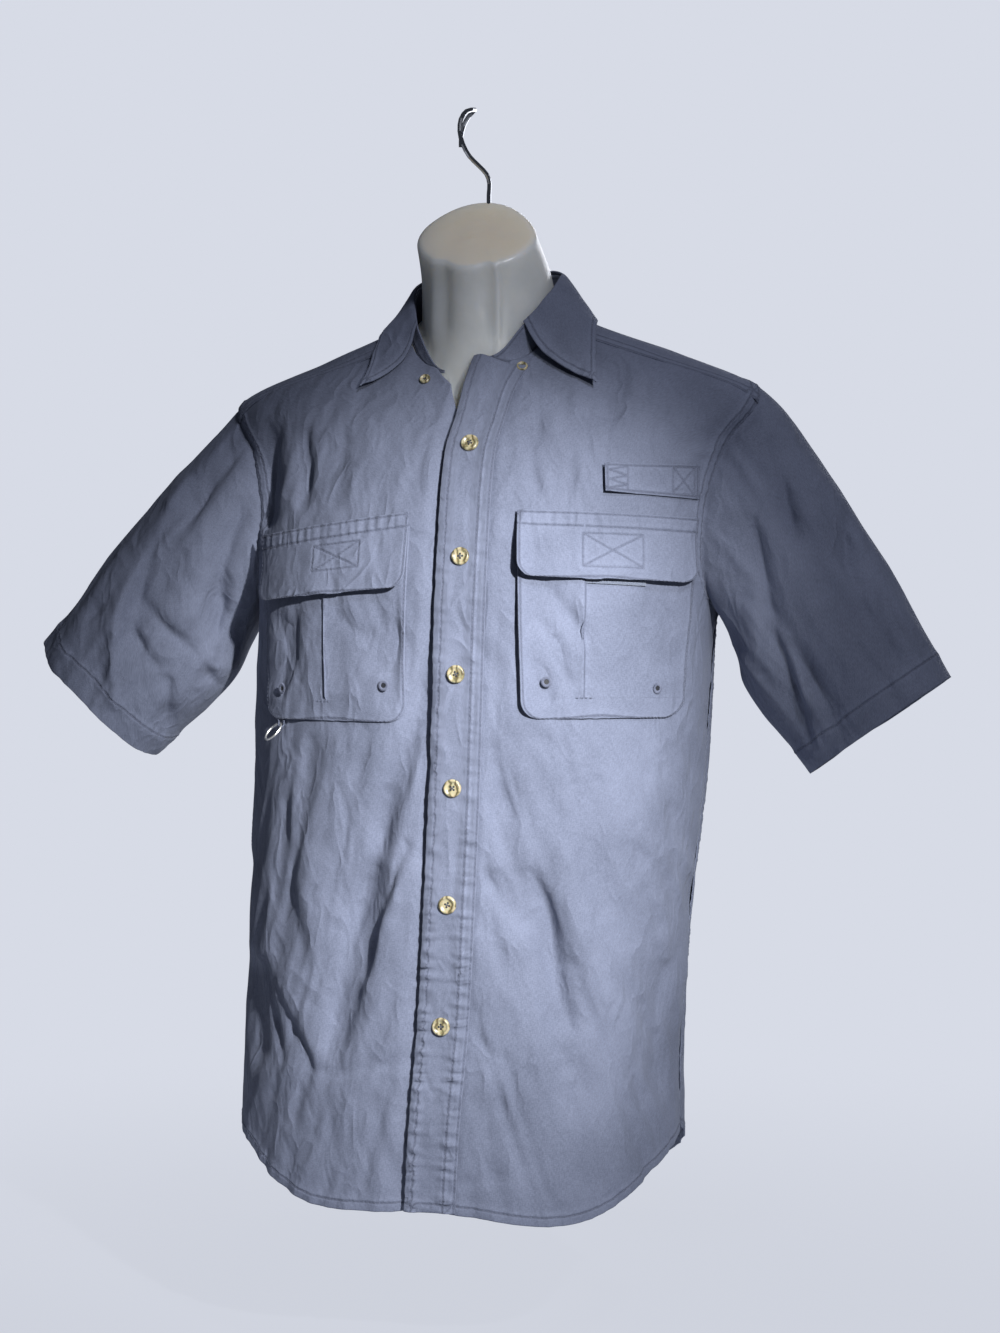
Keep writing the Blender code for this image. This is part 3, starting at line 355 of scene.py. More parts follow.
bodyCreases = {
    "front": (
        (9, 6, 3.4, -19, -442, -27, -502, -44, -549, -61, -612),
        (10, 6, 4.6, -46, -560, -61, -612, -72, -647, -93, -708, -100, -769),
        (8, 5, 3.4, -31, -598, -50, -636, -63, -667, -71, -712),
        (6, 4, 1.8, -12, -520, -24, -575, -38, -622),
        (12, 9, 1.6, -150, -540, -138, -640, -120, -720),
        (5, 7, 3.2, -168, -700, -158, -745, -146, -787),
        (6, 5, 2.6, -159, -714, -137, -752, -119, -781, -128, -810, -137, -834),
        (4, 4, 1.5, -119, -784, -95, -785, -71, -781, -45, -775, -27, -767),
        (7, 5, 1.3, -104, -800, -98, -830, -104, -866),
        (9, 6, 1.5, -60, -800, -52, -840, -40, -880),
        (7, 5, 3.6, -165, -262, -170, -300, -173, -350),
        (6, 5, 2.2, -136, -264, -129, -300, -133, -340),
        (8, 7, 1.3, -104, -240, -96, -290, -100, -336),
        (7, 6, 1.0, -62, -262, -56, -300, -64, -338),
        (8, 4, 5.0, 61, -618, 73, -651, 80, -690, 85, -727, 94, -754),
        (5, 4, 2.4, 38, -620, 49, -651, 58, -668),
        (5, 4, 2.2, 34, -522, 43, -565, 55, -589),
        (4, 4, 1.8, 24, -619, 36, -636, 49, -654),
        (5, 4, 2.0, 21, -727, 27, -757, 46, -774),
        (5, 5, 1.5, 36, -791, 42, -812, 47, -831),
        (5, 4, 1.8, 82, -755, 88, -772, 93, -783),
        (4, 4, 1.2, 8, -869, 30, -863, 51, -859),
        (7, 6, -1.6, 60, -700, 70, -745, 84, -790),
        (9, 8, 1.2, 104, -560, 116, -600, 112, -650),
        (8, 7, 1.4, 124, -600, 142, -610, 160, -640),
        (6, 5, 3.0, 158, -698, 152, -750, 154, -810),
        (4, 4, 2.0, 170, -720, 163, -765, 168, -800),
        (6, 5, 1.8, 146, -740, 140, -790, 150, -835),
        (8, 6, 2.2, 124, -212, 124, -250, 120, -275),
        (8, 6, 1.5, 67, -244, 61, -286, 66, -330),
        (5, 5, 2.0, 189, -253, 194, -272, 198, -287),
        (7, 6, 1.4, 160, -236, 152, -262, 150, -290),
        (8, 7, 1.0, 96, -262, 90, -300, 98, -334),
    ),
    "back": (
        (10, 7, 3.6, -70, -330, -82, -440, -86, -560, -98, -700),
        (8, 6, 3.0, 14, -310, 10, -420, 2, -560),
        (7, 10, 3.8, 82, -360, 76, -500, 66, -650, 60, -790),
        (8, 8, 2.6, -20, -620, -30, -740, -36, -860),
        (8, 6, 2.8, 140, -520, 138, -660, 132, -820),
        (9, 6, 2.4, -120, -480, -126, -600, -120, -720),
        (7, 6, 2.2, 36, -600, 44, -690, 40, -800),
        (6, 6, 2.4, -150, -700, -140, -760, -146, -830),
        (4, 4, 1.2, -90, -780, -40, -788, 10, -780),
        (8, 6, 1.8, 110, -330, 120, -390, 116, -450),
        (7, 8, 1.8, -116, -330, -124, -380, -118, -440),
    ),
}


class Cloth:  # one cut piece: its grid of points and normals in mm, and the distance from each of its edges
    def __init__(self, name, points, flip, closed):
        self.name, self.points, self.flip, self.closed = name, points, flip, closed
        self.measure()

    def measure(self):
        p = self.points
        across, down = np.gradient(p, axis=1), np.gradient(p, axis=0)
        if self.closed:
            across[:, 0] = across[:, -1] = p[:, 1] - p[:, -2]
        self.normals = unit(np.cross(across, down)) * (-1.0 if self.flip else 1.0)
        wide, tall = np.zeros(p.shape[:2]), np.zeros(p.shape[:2])
        wide[:, 1:] = np.cumsum(np.linalg.norm(np.diff(p, axis=1), axis=-1), 1)
        tall[1:] = np.cumsum(np.linalg.norm(np.diff(p, axis=0), axis=-1), 0)
        self.edges = {"left": wide, "right": wide[:, -1:] - wide, "start": tall, "end": tall[-1:] - tall}

    def flat(self):
        wide, tall = self.edges["left"], self.edges["start"]
        a = self.points[1:, 1:] - self.points[:-1, :-1]
        b = self.points[1:, :-1] - self.points[:-1, 1:]
        return wide[:, -1].max(), tall[-1].max(), np.linalg.norm(np.cross(a, b), axis=-1).sum() / 2.0

    def row(self, edge, offset, first=0.0, last=0.0):
        # line of a stitched row at a distance from an edge, cut short by so many mm at both ends
        away, p, n = self.edges[edge], self.points, self.normals
        if edge in ("start", "end"):
            away, p, n = away.T, p.transpose(1, 0, 2), n.transpose(1, 0, 2)
        line, normals = [], []
        for d, q, m in zip(away, p, n):
            if d[0] > d[-1]:
                d, q, m = d[::-1], q[::-1], m[::-1]
            line.append([np.interp(offset, d, q[:, k]) for k in range(3)])
            normals.append([np.interp(offset, d, m[:, k]) for k in range(3)])
        return cutLine(np.array(line), unit(np.array(normals)), first, last)


def cutLine(line, normals, first, last):
    s = np.concatenate([[0.0], np.cumsum(np.linalg.norm(np.diff(line, axis=0), axis=-1))])
    keep = np.arange(first, max(s[-1] - last, first + 0.1), 1.0)
    return (np.stack([np.interp(keep, s, line[:, k]) for k in range(3)], -1),
            unit(np.stack([np.interp(keep, s, normals[:, k]) for k in range(3)], -1)))


# x and z ranges that the pockets and the tab hold flat; drag lines' lengths across, down and inwards, heights
heldFlat = ((-173, -33, -510, -340), (49, 185, -508, -338), (113, 189, -332, -300))
dragShape = {"slope": 0.3, "fine": (15.0, 90.0, 70.0), "fineHeight": 3.6, "broad": (34.0, 130.0, 90.0),
             "broadHeight": 3.4}


def bodyPull(x, z):  # the cloth is drawn out from the placket, more so towards the hem; patches hold it flat
    low, free = ease((-400.0 - z) / 220.0), ease((np.abs(x - placketMiddle(z)) - 22.0) / 16.0)
    for low1, high1, low2, high2 in heldFlat:
        free = free * ease(np.maximum(np.maximum(low1 - x, x - high1), np.maximum(low2 - z, z - high2)) / 14.0)
    return np.sign(np.mean(x - placketMiddle(z))) * dragShape["slope"], mix(0.75, 1.25, low) * free


def dragLines(points, slope, seed):  # uneven drag lines, about 20 mm apart and several times as long
    x, y, z = np.moveaxis(points, -1, 0)
    across, total = x + slope * z, np.zeros(x.shape)
    (a, b, c), (d, e, f) = dragShape["fine"], dragShape["broad"]
    for i, j in np.ndindex(x.shape):
        fine = noise.noise(Vector((across[i, j] / a, z[i, j] / b, y[i, j] / c + seed)))
        broad = noise.noise(Vector((across[i, j] / d, z[i, j] / e, y[i, j] / f - seed)))
        total[i, j] = dragShape["fineHeight"] * (0.3 - abs(fine)) + dragShape["broadHeight"] * broad
    return total


def layCloth(name, us, vs, place, flip=False, closed=False, creases=True, rumple=0.5, shape=None, pull=None, held=()):
    u, v = np.meshgrid(us, vs)
    piece = Cloth(name, place(u, v), flip, closed)
    piece.us, piece.vs, piece.cut = us, vs, piece.flat()
    x, z, facing = piece.points[..., 0], piece.points[..., 2], piece.normals[..., 1]
    depth = np.zeros(u.shape)
    if creases:
        depth += creaseDepth(x, z, bodyCreases["front"]) * ease(-facing * 2.2)
        depth += creaseDepth(x, z, bodyCreases["back"]) * ease(facing * 2.2)
    rough = np.array([[noise.noise(Vector(p) / 52.0) * 1.1 + noise.noise(Vector(p) / 19.0) * 0.4 for p in line]
                      for line in piece.points])
    offset = rough * rumple - depth
    if pull is not None:
        slope, strength = pull(x, z)
        offset = offset + strength * dragLines(piece.points, slope, len(name) * 3.1)
    for edge in held:  # both pieces of a seam keep to the same line
        offset = offset * ease(piece.edges[edge] / 13.0)
    if shape is not None:
        offset = offset + shape(piece, u, v)
    if closed:
        offset[:, -1] = offset[:, 0]
    piece.points = piece.points + piece.normals * offset[..., None]
    piece.measure()
    return piece


def finishPiece(name, form, material, replaced=None):
    mesh = bpy.data.meshes.new(name)
    form.to_mesh(mesh)
    form.free()
    mesh.materials.append(material)
    mesh.shade_smooth()
    made = bpy.data.objects.new(name, mesh)
    scene.collection.objects.link(made)
    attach(made, "shirt_on_form")
    if replaced:
        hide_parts(replaced)
    return made


def meshCloth(piece, wall, material, rowsAt):
    columns, rows = piece.points.shape[1] - 1, piece.points.shape[0] - 1
    grid = bmesh.new()
    bmesh.ops.create_grid(grid, x_segments=columns, y_segments=rows, size=0.5)
    weave = grid.loops.layers.uv.new("weave")
    layers = [grid.verts.layers.float.new(row) for row in ("rowA", "rowB")]
    spots = {}
    for vertex in grid.verts:
        i, j = round((vertex.co.y + 0.5) * rows), round((vertex.co.x + 0.5) * columns)
        spots[vertex.index] = (i, j)
        p = piece.points[i, j]
        vertex.co = Vector((p[0] + shirtBody["shift"], p[1], p[2])) * mm
        for layer, far in zip(layers, rowsAt):
            vertex[layer] = far[i, j]
    wide, tall = piece.edges["left"] * mm, piece.edges["start"] * mm
    for face in grid.faces:
        for loop in face.loops:
            i, j = spots[loop.vert.index]
            loop[weave].uv = (wide[i, j], tall[i, j])
    if piece.closed:
        bmesh.ops.remove_doubles(grid, verts=grid.verts, dist=0.00002)
    if piece.flip:
        bmesh.ops.reverse_faces(grid, faces=grid.faces)
    made = finishPiece(piece.name + "_cloth", grid, material, piece.name)
    shell = made.modifiers.new("cloth wall", "SOLIDIFY")
    shell.thickness, shell.offset = wall * mm, -1.0
    return made


stitch = {"pitch": 3.4, "length": 2.7, "width": 0.62, "height": 0.42}


def sewRows(name, lines):
    # Lockstitches: each is one short rounded thread of a few faces, sunk into the cloth at both ends.
    # They are made a few at a time, because every operator call walks the whole bmesh.
    sewn, few, spare = bmesh.new(), bmesh.new(), bpy.data.meshes.new("few stitches")
    for line, normals in lines:
        s = np.concatenate([[0.0], np.cumsum(np.linalg.norm(np.diff(line, axis=0), axis=-1))])
        count = int(s[-1] / stitch["pitch"])
        for k in range(count):
            at = (k + 0.5) * s[-1] / count
            ends = [Vector([np.interp(at + o, s, line[:, c]) for c in range(3)]) for o in (-1.2, 0.0, 1.2)]
            normal = Vector([np.interp(at, s, normals[:, c]) for c in range(3)])
            tangent = (ends[2] - ends[0]).normalized()
            side = tangent.cross(normal).normalized()
            normal = side.cross(tangent)
            middle = ends[1] + normal * 0.08
            turned = Matrix((side * stitch["width"] / 2.0, normal * stitch["height"] / 2.0,
                             tangent * stitch["length"] / 2.0)).transposed().to_4x4()
            middle.x += shirtBody["shift"]
            bmesh.ops.create_uvsphere(few, u_segments=6, v_segments=4, radius=1.0,
                                      matrix=Matrix.Scale(mm, 4) @ Matrix.Translation(middle) @ turned)
            if k % 24 == 23 or k == count - 1:
                few.to_mesh(spare)
                sewn.from_mesh(spare)
                few.clear()
    few.free()
    bpy.data.meshes.remove(spare)
    bmesh.ops.recalc_face_normals(sewn, faces=sewn.faces)
    return finishPiece(name, sewn, thread)


def straightRow(start, end, level):  # stitched line between two places (x, z) on the front
    length = math.dist(start, end)
    (x, z), keep = zip(start, end), np.linspace(0.0, length, max(3, int(length / 1.5)))
    x, z = np.interp(keep, (0.0, length), x), np.interp(keep, (0.0, length), z)
    point, normal = surfaceOnFront(x, z, level)
    return point - normal * creaseDepth(x, z, bodyCreases["front"])[..., None], normal


def placesOn(piece, u, v):  # points and normals at shares of a piece's width and height
    j, i = np.interp(u, piece.us, np.arange(len(piece.us))), np.interp(v, piece.vs, np.arange(len(piece.vs)))
    j0, i0 = np.minimum(j.astype(int), len(piece.us) - 2), np.minimum(i.astype(int), len(piece.vs) - 2)
    b, a = (j - j0)[..., None], (i - i0)[..., None]
    return [mix(mix(grid[i0, j0], grid[i0, j0 + 1], b), mix(grid[i0 + 1, j0], grid[i0 + 1, j0 + 1], b), a)
            for grid in (piece.points, piece.normals)]


def patternRow(piece, corners):  # a stitched line from place to place on a piece
    corners = np.array(corners, dtype=float)
    size = np.array(piece.cut[:2])
    s = np.concatenate([[0.0], np.cumsum(np.linalg.norm((corners[1:] - corners[:-1]) * size, axis=1))])
    keep = np.linspace(0.0, s[-1], max(3, int(s[-1])))
    points, normals = placesOn(piece, np.interp(keep, s, corners[:, 0]), np.interp(keep, s, corners[:, 1]))
    return points, unit(normals)


def boxed(u0, v0, u1, v1):  # a rectangle with a cross in it
    return (((u0, v0), (u1, v0), (u1, v1), (u0, v1), (u0, v0)), ((u0, v0), (u1, v1)), ((u0, v1), (u1, v0)))


pieces, noRow = {}, 500.0  # noRow: mm from the nearest row where there is none


def sewPiece(piece, wall, rows, patterns=(), tacks=(), pleat=None, material=None):
    # Rows are (edge, distance from it, cut short first and last, where there is cloth to sew). The shader gets
    # the distance from the nearest row: first rows in rowA; second ones, patterns and the pleat in rowB.
    away = np.full(piece.points.shape[:2], noRow)
    nearest, seen, lines = [away, away if pleat is None else pleat], [], []
    for edge, offset, *rest in rows:
        k, away = seen.count(edge), piece.edges[edge] - offset
        if len(rest) == 3:
            away = np.where(rest[2], away, noRow)
        nearest[k] = np.where(np.abs(away) < np.abs(nearest[k]), away, nearest[k])
        seen.append(edge)
        if rest:
            lines.append(piece.row(edge, offset, *rest[:2]))
    for points, _ in patterns:
        away = np.min([np.linalg.norm(piece.points - point, axis=-1) for point in points], axis=0)
        nearest[1] = np.where(away < np.abs(nearest[1]), away, nearest[1])
    piece.object = meshCloth(piece, wall, material or poplin, nearest)
    lines = [*patterns, *lines, *tacks]
    piece.parts = [sewRows("stitching_" + piece.name, lines)] if lines else []
    pieces[piece.name] = piece


print("stage: cloth materials")
poplin = cottonPoplin("cotton poplin")


def coreSpunThread(name, colours):
    # Polyester core-spun sewing thread, twisted: a little smoother and deeper than the cloth round it.
    made, tree, shader, place = newMaterial(name, {"Roughness": 0.62, "Sheen Weight": 0.15, "IOR": 1.5})
    ply = addNode(tree, "TexWave", {"Vector": place, "Scale": 900.0, "Distortion": 2.0}, bands_direction="DIAGONAL")
    bump = addNode(tree, "Bump", {"Height": ply.outputs[1], "Strength": 0.4, "Distance": 0.1 * mm})
    ramp = addNode(tree, "ValToRGB", {0: addNode(tree, "TexNoise", {"Vector": place, "Scale": 90.0})})
    setStops(ramp, zip((0.0, 1.0), colours))
    plug(tree, shader, {"Base Color": ramp, "Normal": bump})
    return made


thread = coreSpunThread("polyester core-spun thread", ("#50566a", "#6a7086"))

print("stage: fronts, back and yoke")
fronts = {
    "hemRight": ((0, -890), (12, -891), (28, -890), (45, -873), (62, -852), (90, -838)),
    "hemLeft": ((0, -889), (12, -893), (30, -900), (45, -894), (60, -873), (90, -842)),
    "opening": ((-889, -3), (-825, 2), (-744, 8), (-649, 13), (-558, 17), (-377, 20), (-300, 18), (-280, 3),
                (-262, -5), (-240, -13)),
    "columns": 92, "rows": 200, "wall": 0.9, "shadowTuck": 4.6, "hemRow": 7.0, "armRows": (1.8, 9.0),
}
placketShape = {
    "middle": ((-206, 35), (-243, 19), (-266, 14), (-292, 9.5), (-377, 7.5), (-469, 5.5), (-558, 3), (-649, -1),
               (-744, -6), (-825, -13), (-910, -17.5)),
    "half": 19.5, "wall": 1.5, "lift": 1.7, "columns": 26, "rows": 300,
    # puckered rows: share of the width, reach and seed; then the puckers' pitch and height
    "puckerRows": ((0.14, 0.12, 1.0), (0.82, 0.17, 4.0)), "puckerPitch": 9.2, "puckerHeight": 4.4,
}
frontShare = 1.0 - shirtBody["yokeFrontTurn"] / (shirtBody["armholeSwing"] * 2.6)


def placketMiddle(z):
    return readTable(placketShape["middle"], z)[..., 0]


def outerEdge(side, hemZ):
    sign = 1.0 if side == "left" else -1.0
    edge = [(sign * 90.5, mix(hemZ, shirtBody["armholePit"][side], i / 9.0)) for i in range(9)]
    turn, z = armhole(side, np.linspace(1.0, 1.0 - frontShare, 25), False)
    return edge + list(zip(turn, z))


def innerEdge(side):
    if side == "left":
        zs, turns = np.linspace(-889.0, -236.0, 30), (28.0, 38.0, 48.0, 57.0, 66.0)
        xs = placketMiddle(zs) + placketShape["half"] - 3.0
    else:
        zs, turns = np.linspace(-889.0, -240.0, 30), (-28.0, -38.0, -47.0, -55.0, -62.0)
        xs = readTable(fronts["opening"], zs)[..., 0]
    return list(zip(turnAt(xs, zs), zs)) + list(zip(*neckline(np.array(turns))))


def frontPlace(side):
    hem = fronts["hemLeft"] if side == "left" else fronts["hemRight"]
    inner, outer = innerEdge(side), outerEdge(side, hem[-1][1])

    def place(u, v):
        (turnA, zA), (turnB, zB) = pathPoint(inner, v), pathPoint(outer, v)
        turn, z = mix(turnA, turnB, u), mix(zA, zB, u)
        z = z + (readTable(hem, np.abs(turn))[..., 0] - mix(inner[0][1], outer[0][1], u)) * (1.0 - ease(v / 0.35))
        under = 1.4 * ease((np.abs(turn) - 88.6) / 1.4) * (z < shirtBody["armholePit"][side] + 4.0)
        x = bodyPoint(turn, z)[..., 0]
        if side == "right":
            tucked = fronts["shadowTuck"] * ease((x - placketMiddle(z) + placketShape["half"] + 13.0) / 12.0)
        else:
            tucked = 1.5 * (1.0 - ease((x - placketMiddle(z) - placketShape["half"] - 0.5) / 4.0)) * (z < -240.0)
        return bodyPoint(turn, z, -under - tucked)
    return place


def edgePuckers(strengths, seed):
    # small ripples that run in from stitched edges: edge, height, reach
    def shape(piece, u, v):
        total = np.zeros(u.shape)
        for k, (edge, height, reach) in enumerate(strengths):
            along = piece.edges["start" if edge in ("left", "right") else "left"]
            total += height * wobble(along, seed + k) * np.exp(-(piece.edges[edge] / reach) ** 2)
        return total
    return shape


def hemRoll(edge, width, step):  # the doubled cloth of a turned hem stands a little proud
    def shape(piece, u, v):
        return step * (1.0 - ease((piece.edges[edge] - width + 1.0) / 2.0))
    return shape


def felledBand(edge, width, height, where=None):  # a lapped, twice stitched seam, thick and puckered
    def shape(piece, u, v):
        along, away = piece.edges["start" if edge in ("left", "right") else "left"], piece.edges[edge]
        band = 1.0 - ease((away - width) / 1.8)
        drawn = np.sin(along / 1.35 + 2.0 * wobble(along, 6.0)) * np.exp(-((away - width / 2.0) / width * 1.7) ** 4)
        held = 1.0 if where is None else where(piece.points)
        return (height * band + 0.95 * height * drawn * (0.6 + 0.4 * wobble(along * 0.6, 1.0))) * held
    return shape


def together(*shapes):
    return lambda piece, u, v: sum(s(piece, u, v) for s in shapes)


for side in ("right", "left"):
    pitZ = shirtBody["armholePit"][side]
    ripple = edgePuckers((("start", 0.7, 26.0), ("left", 0.45 if side == "left" else 0.25, 16.0),
                          ("right", 0.5, 14.0)), 3 if side == "left" else 8)
    armSeam = felledBand("right", 10.4, 0.9, lambda p, pitZ=pitZ: ease((p[..., 2] - pitZ + 4.0) / 6.0))
    piece = layCloth("front_" + side, spreadOut(fronts["columns"], 290.0), spreadOut(fronts["rows"], 640.0),
                     frontPlace(side), flip=side == "right", rumple=0.75, pull=bodyPull, held=("right", "end"),
                     shape=together(ripple, hemRoll("start", 8.0, 0.45), armSeam))
    high = piece.points[..., 2] > pitZ + 3.0
    below = float(np.abs(np.diff(piece.points[~high[:, -1], -1], axis=0)).sum(0)[2]) + 6.0
    sewPiece(piece, fronts["wall"], [("start", fronts["hemRow"], 2.0, 2.0)] + [
        ("right", offset, below, 2.0, high) for offset in fronts["armRows"]])

backShape = {
    "hem": ((90, -842), (115, -872), (140, -896), (180, -902), (220, -892), (245, -864), (270, -838)),
    "columns": 150, "rows": 170, "wall": 0.9, "hemRow": 7.0, "armRows": (1.8, 8.4),
}


def backCorner(side):
    parts = np.arange(1, 400) / 400.0
    return parts[np.argmin(np.abs(armhole(side, parts, True)[1] - shirtBody["yokeBackZ"] + 0.2))]


def backPlace(u, v):
    ends = []
    for side, sign, hemZ in (("left", 1.0, backShape["hem"][0][1]), ("right", -1.0, backShape["hem"][-1][1])):
        edge = [(sign * 89.5, mix(hemZ, shirtBody["armholePit"][side], i / 9.0)) for i in range(9)]
        turn, z = armhole(side, np.linspace(1.0, backCorner(side), 20), True)
        ends.append(pathPoint(edge + list(zip(turn, z)), v))
    turn = mix(ends[0][0], 360.0 + ends[1][0], u)
    z = mix(ends[0][1], ends[1][1], u)
    top = ease((v - 0.75) / 0.25)
    z = mix(z, mix(z, shirtBody["yokeBackZ"], top), ease(u / 0.06) * ease((1.0 - u) / 0.06))
    straight = mix(backShape["hem"][0][1], backShape["hem"][-1][1], u)
    z = z + (readTable(backShape["hem"], turn)[..., 0] - straight) * (1.0 - ease(v / 0.35))
    return bodyPoint(turn, z)


ripple = edgePuckers((("start", 0.8, 28.0), ("left", 0.5, 14.0), ("right", 0.5, 14.0), ("end", 0.4, 16.0)), 5)
piece = layCloth("back", spreadOut(backShape["columns"], 590.0), spreadOut(backShape["rows"], 590.0), backPlace,
                 rumple=0.9, pull=lambda x, z: (0.1 * np.sin(x / 55.0), 0.9), held=("left", "right", "end"),
                 shape=together(ripple, hemRoll("start", 8.0, 0.45), felledBand("left", 9.6, 0.8),
                                felledBand("right", 9.6, 0.8)))
sewPiece(piece, backShape["wall"], [("start", backShape["hemRow"], 2.0, 2.0)] + [
    (edge, offset, 3.0, 3.0) for edge in ("left", "right") for offset in backShape["armRows"]])

yokeShape = {"lift": 1.25, "lap": 4.0, "columns": 150, "rows": 34, "wall": 0.9, "turns": (64.4, 299.6), "share": 0.2,
             "seamRows": (1.6, 8.0)}


def yokePlace(u, v):
    turn = mix(*yokeShape["turns"], u)
    innerTurn, innerZ = neckline(np.where(turn <= 180.0, turn, turn - 360.0))
    innerTurn = np.where(innerTurn > 0.0, innerTurn, innerTurn + 360.0)
    share, outer = yokeShape["share"], []  # the share of the width that follows each armhole
    for side, t in (("left", u / share), ("right", (1.0 - u) / share)):
        run = mix(-(1.0 - frontShare) - 0.012, backCorner(side) + 0.012, np.clip(t, 0.0, 1.0))
        turn, z = armhole(side, np.abs(run), run > 0.0)
        outer += [np.where(turn > 0.0, turn, turn + 360.0), z]
    leftTurn, leftZ, rightTurn, rightZ = outer
    t = np.clip((u - share) / (1.0 - 2.0 * share), 0.0, 1.0)
    middleTurn = mix(np.interp(share, u[0], leftTurn[0]), np.interp(1.0 - share, u[0], rightTurn[0]), t)
    lowZ = shirtBody["yokeBackZ"] - yokeShape["lap"]
    outTurn = np.where(u < share, leftTurn, np.where(u > 1.0 - share, rightTurn, middleTurn))
    outZ = np.where(u < share, leftZ, np.where(u > 1.0 - share, rightZ, lowZ))
    return bodyPoint(mix(innerTurn, outTurn, v), mix(innerZ, outZ, v), yokeShape["lift"])


piece = layCloth("yoke", spreadOut(yokeShape["columns"], 600.0), spreadOut(yokeShape["rows"], 140.0), yokePlace,
                 flip=True, rumple=0.6,
                 shape=together(edgePuckers((("end", 0.35, 12.0), ("left", 0.3, 10.0), ("right", 0.3, 10.0)), 2),
                                felledBand("end", 9.4, 0.7)))
sewPiece(piece, yokeShape["wall"], [(edge, offset, 2.0, 2.0) for edge in ("end", "left", "right")
                                    for offset in yokeShape["seamRows"]])

print("stage: sleeves")
sleeves = {
    # past the armhole: top x, top z, bottom x, bottom z, half depth, middle y
    "right": ((-237, -269, -208, -438, 64, 8), (-276, -310, -222, -470, 64, 6), (-318, -356, -247, -497, 61, 3),
              (-354, -401, -270, -518, 57, 1), (-386, -441, -292, -538, 53, 0)),
    "left": ((247, -253, 207, -448, 64, 8), (279, -296, 216, -478, 65, 6), (309, -343, 233, -503, 62, 3),
             (342, -398, 252, -525, 59, 1), (381, -472, 271, -549, 55, 0)),
    # turn at the armhole and at the cuff, first and last place, half width in degrees, depth
    "foldsRight": ((40, 60, 0.15, 1.0, 13, -5), (75, 95, 0.25, 0.95, 12, 5), (128, 120, 0.05, 0.8, 12, 6),
                   (250, 262, 0.2, 1.0, 16, 5)),
    "foldsLeft": ((62, 74, 0.0, 0.95, 12, 6), (38, 44, 0.1, 0.7, 11, 4), (104, 100, 0.3, 0.9, 12, 5),
                  (258, 250, 0.2, 1.0, 16, 5)),
    "columns": 190, "rows": 74, "wall": 0.9, "hem": 21.0, "tuck": 0.04, "frontGain": 3.4, "rearGain": 2.3,
}
sleeveCreases = {
    "left": ((6, 5, 4.0, 227, -343, 239, -398, 249, -448, 262, -501, 272, -535),
             (6, 5, 3.2, 256, -441, 282, -483, 301, -522),
             (7, 5, 2.6, 241, -279, 254, -317, 264, -371),
             (8, 6, 1.8, 300, -330, 306, -380, 322, -430),
             (5, 5, -1.6, 240, -420, 262, -460, 270, -500),
             (7, 6, 1.6, 330, -400, 336, -440, 350, -480)),
    "right": ((6, 8, -3.6, -244, -302, -271, -360, -291, -394, -302, -421, -306, -458, -307, -500),
              (6, 6, 3.2, -199, -278, -227, -315, -250, -352),
              (7, 6, 3.6, -193, -324, -212, -382, -222, -463),
              (6, 5, 2.4, -256, -330, -278, -380, -292, -430),
              (5, 4, 1.8, -286, -404, -262, -430, -238, -454),
              (4, 4, 1.6, -297, -423, -283, -446, -269, -467),
              (4, 4, 1.6, -234, -458, -231, -475, -229, -492),
              (4, 4, 1.4, -335, -427, -322, -416, -308, -404),
              (5, 5, 1.8, -262, -470, -266, -500, -276, -524)),
    "rear": ((7, 8, 3.0, -215, -320, -250, -390, -280, -470),
             (6, 7, 2.2, -250, -300, -290, -360, -320, -440),
             (8, 7, 3.0, 215, -320, 240, -400, 262, -500),
             (7, 6, 2.2, 262, -300, 290, -370, 310, -460)),
}


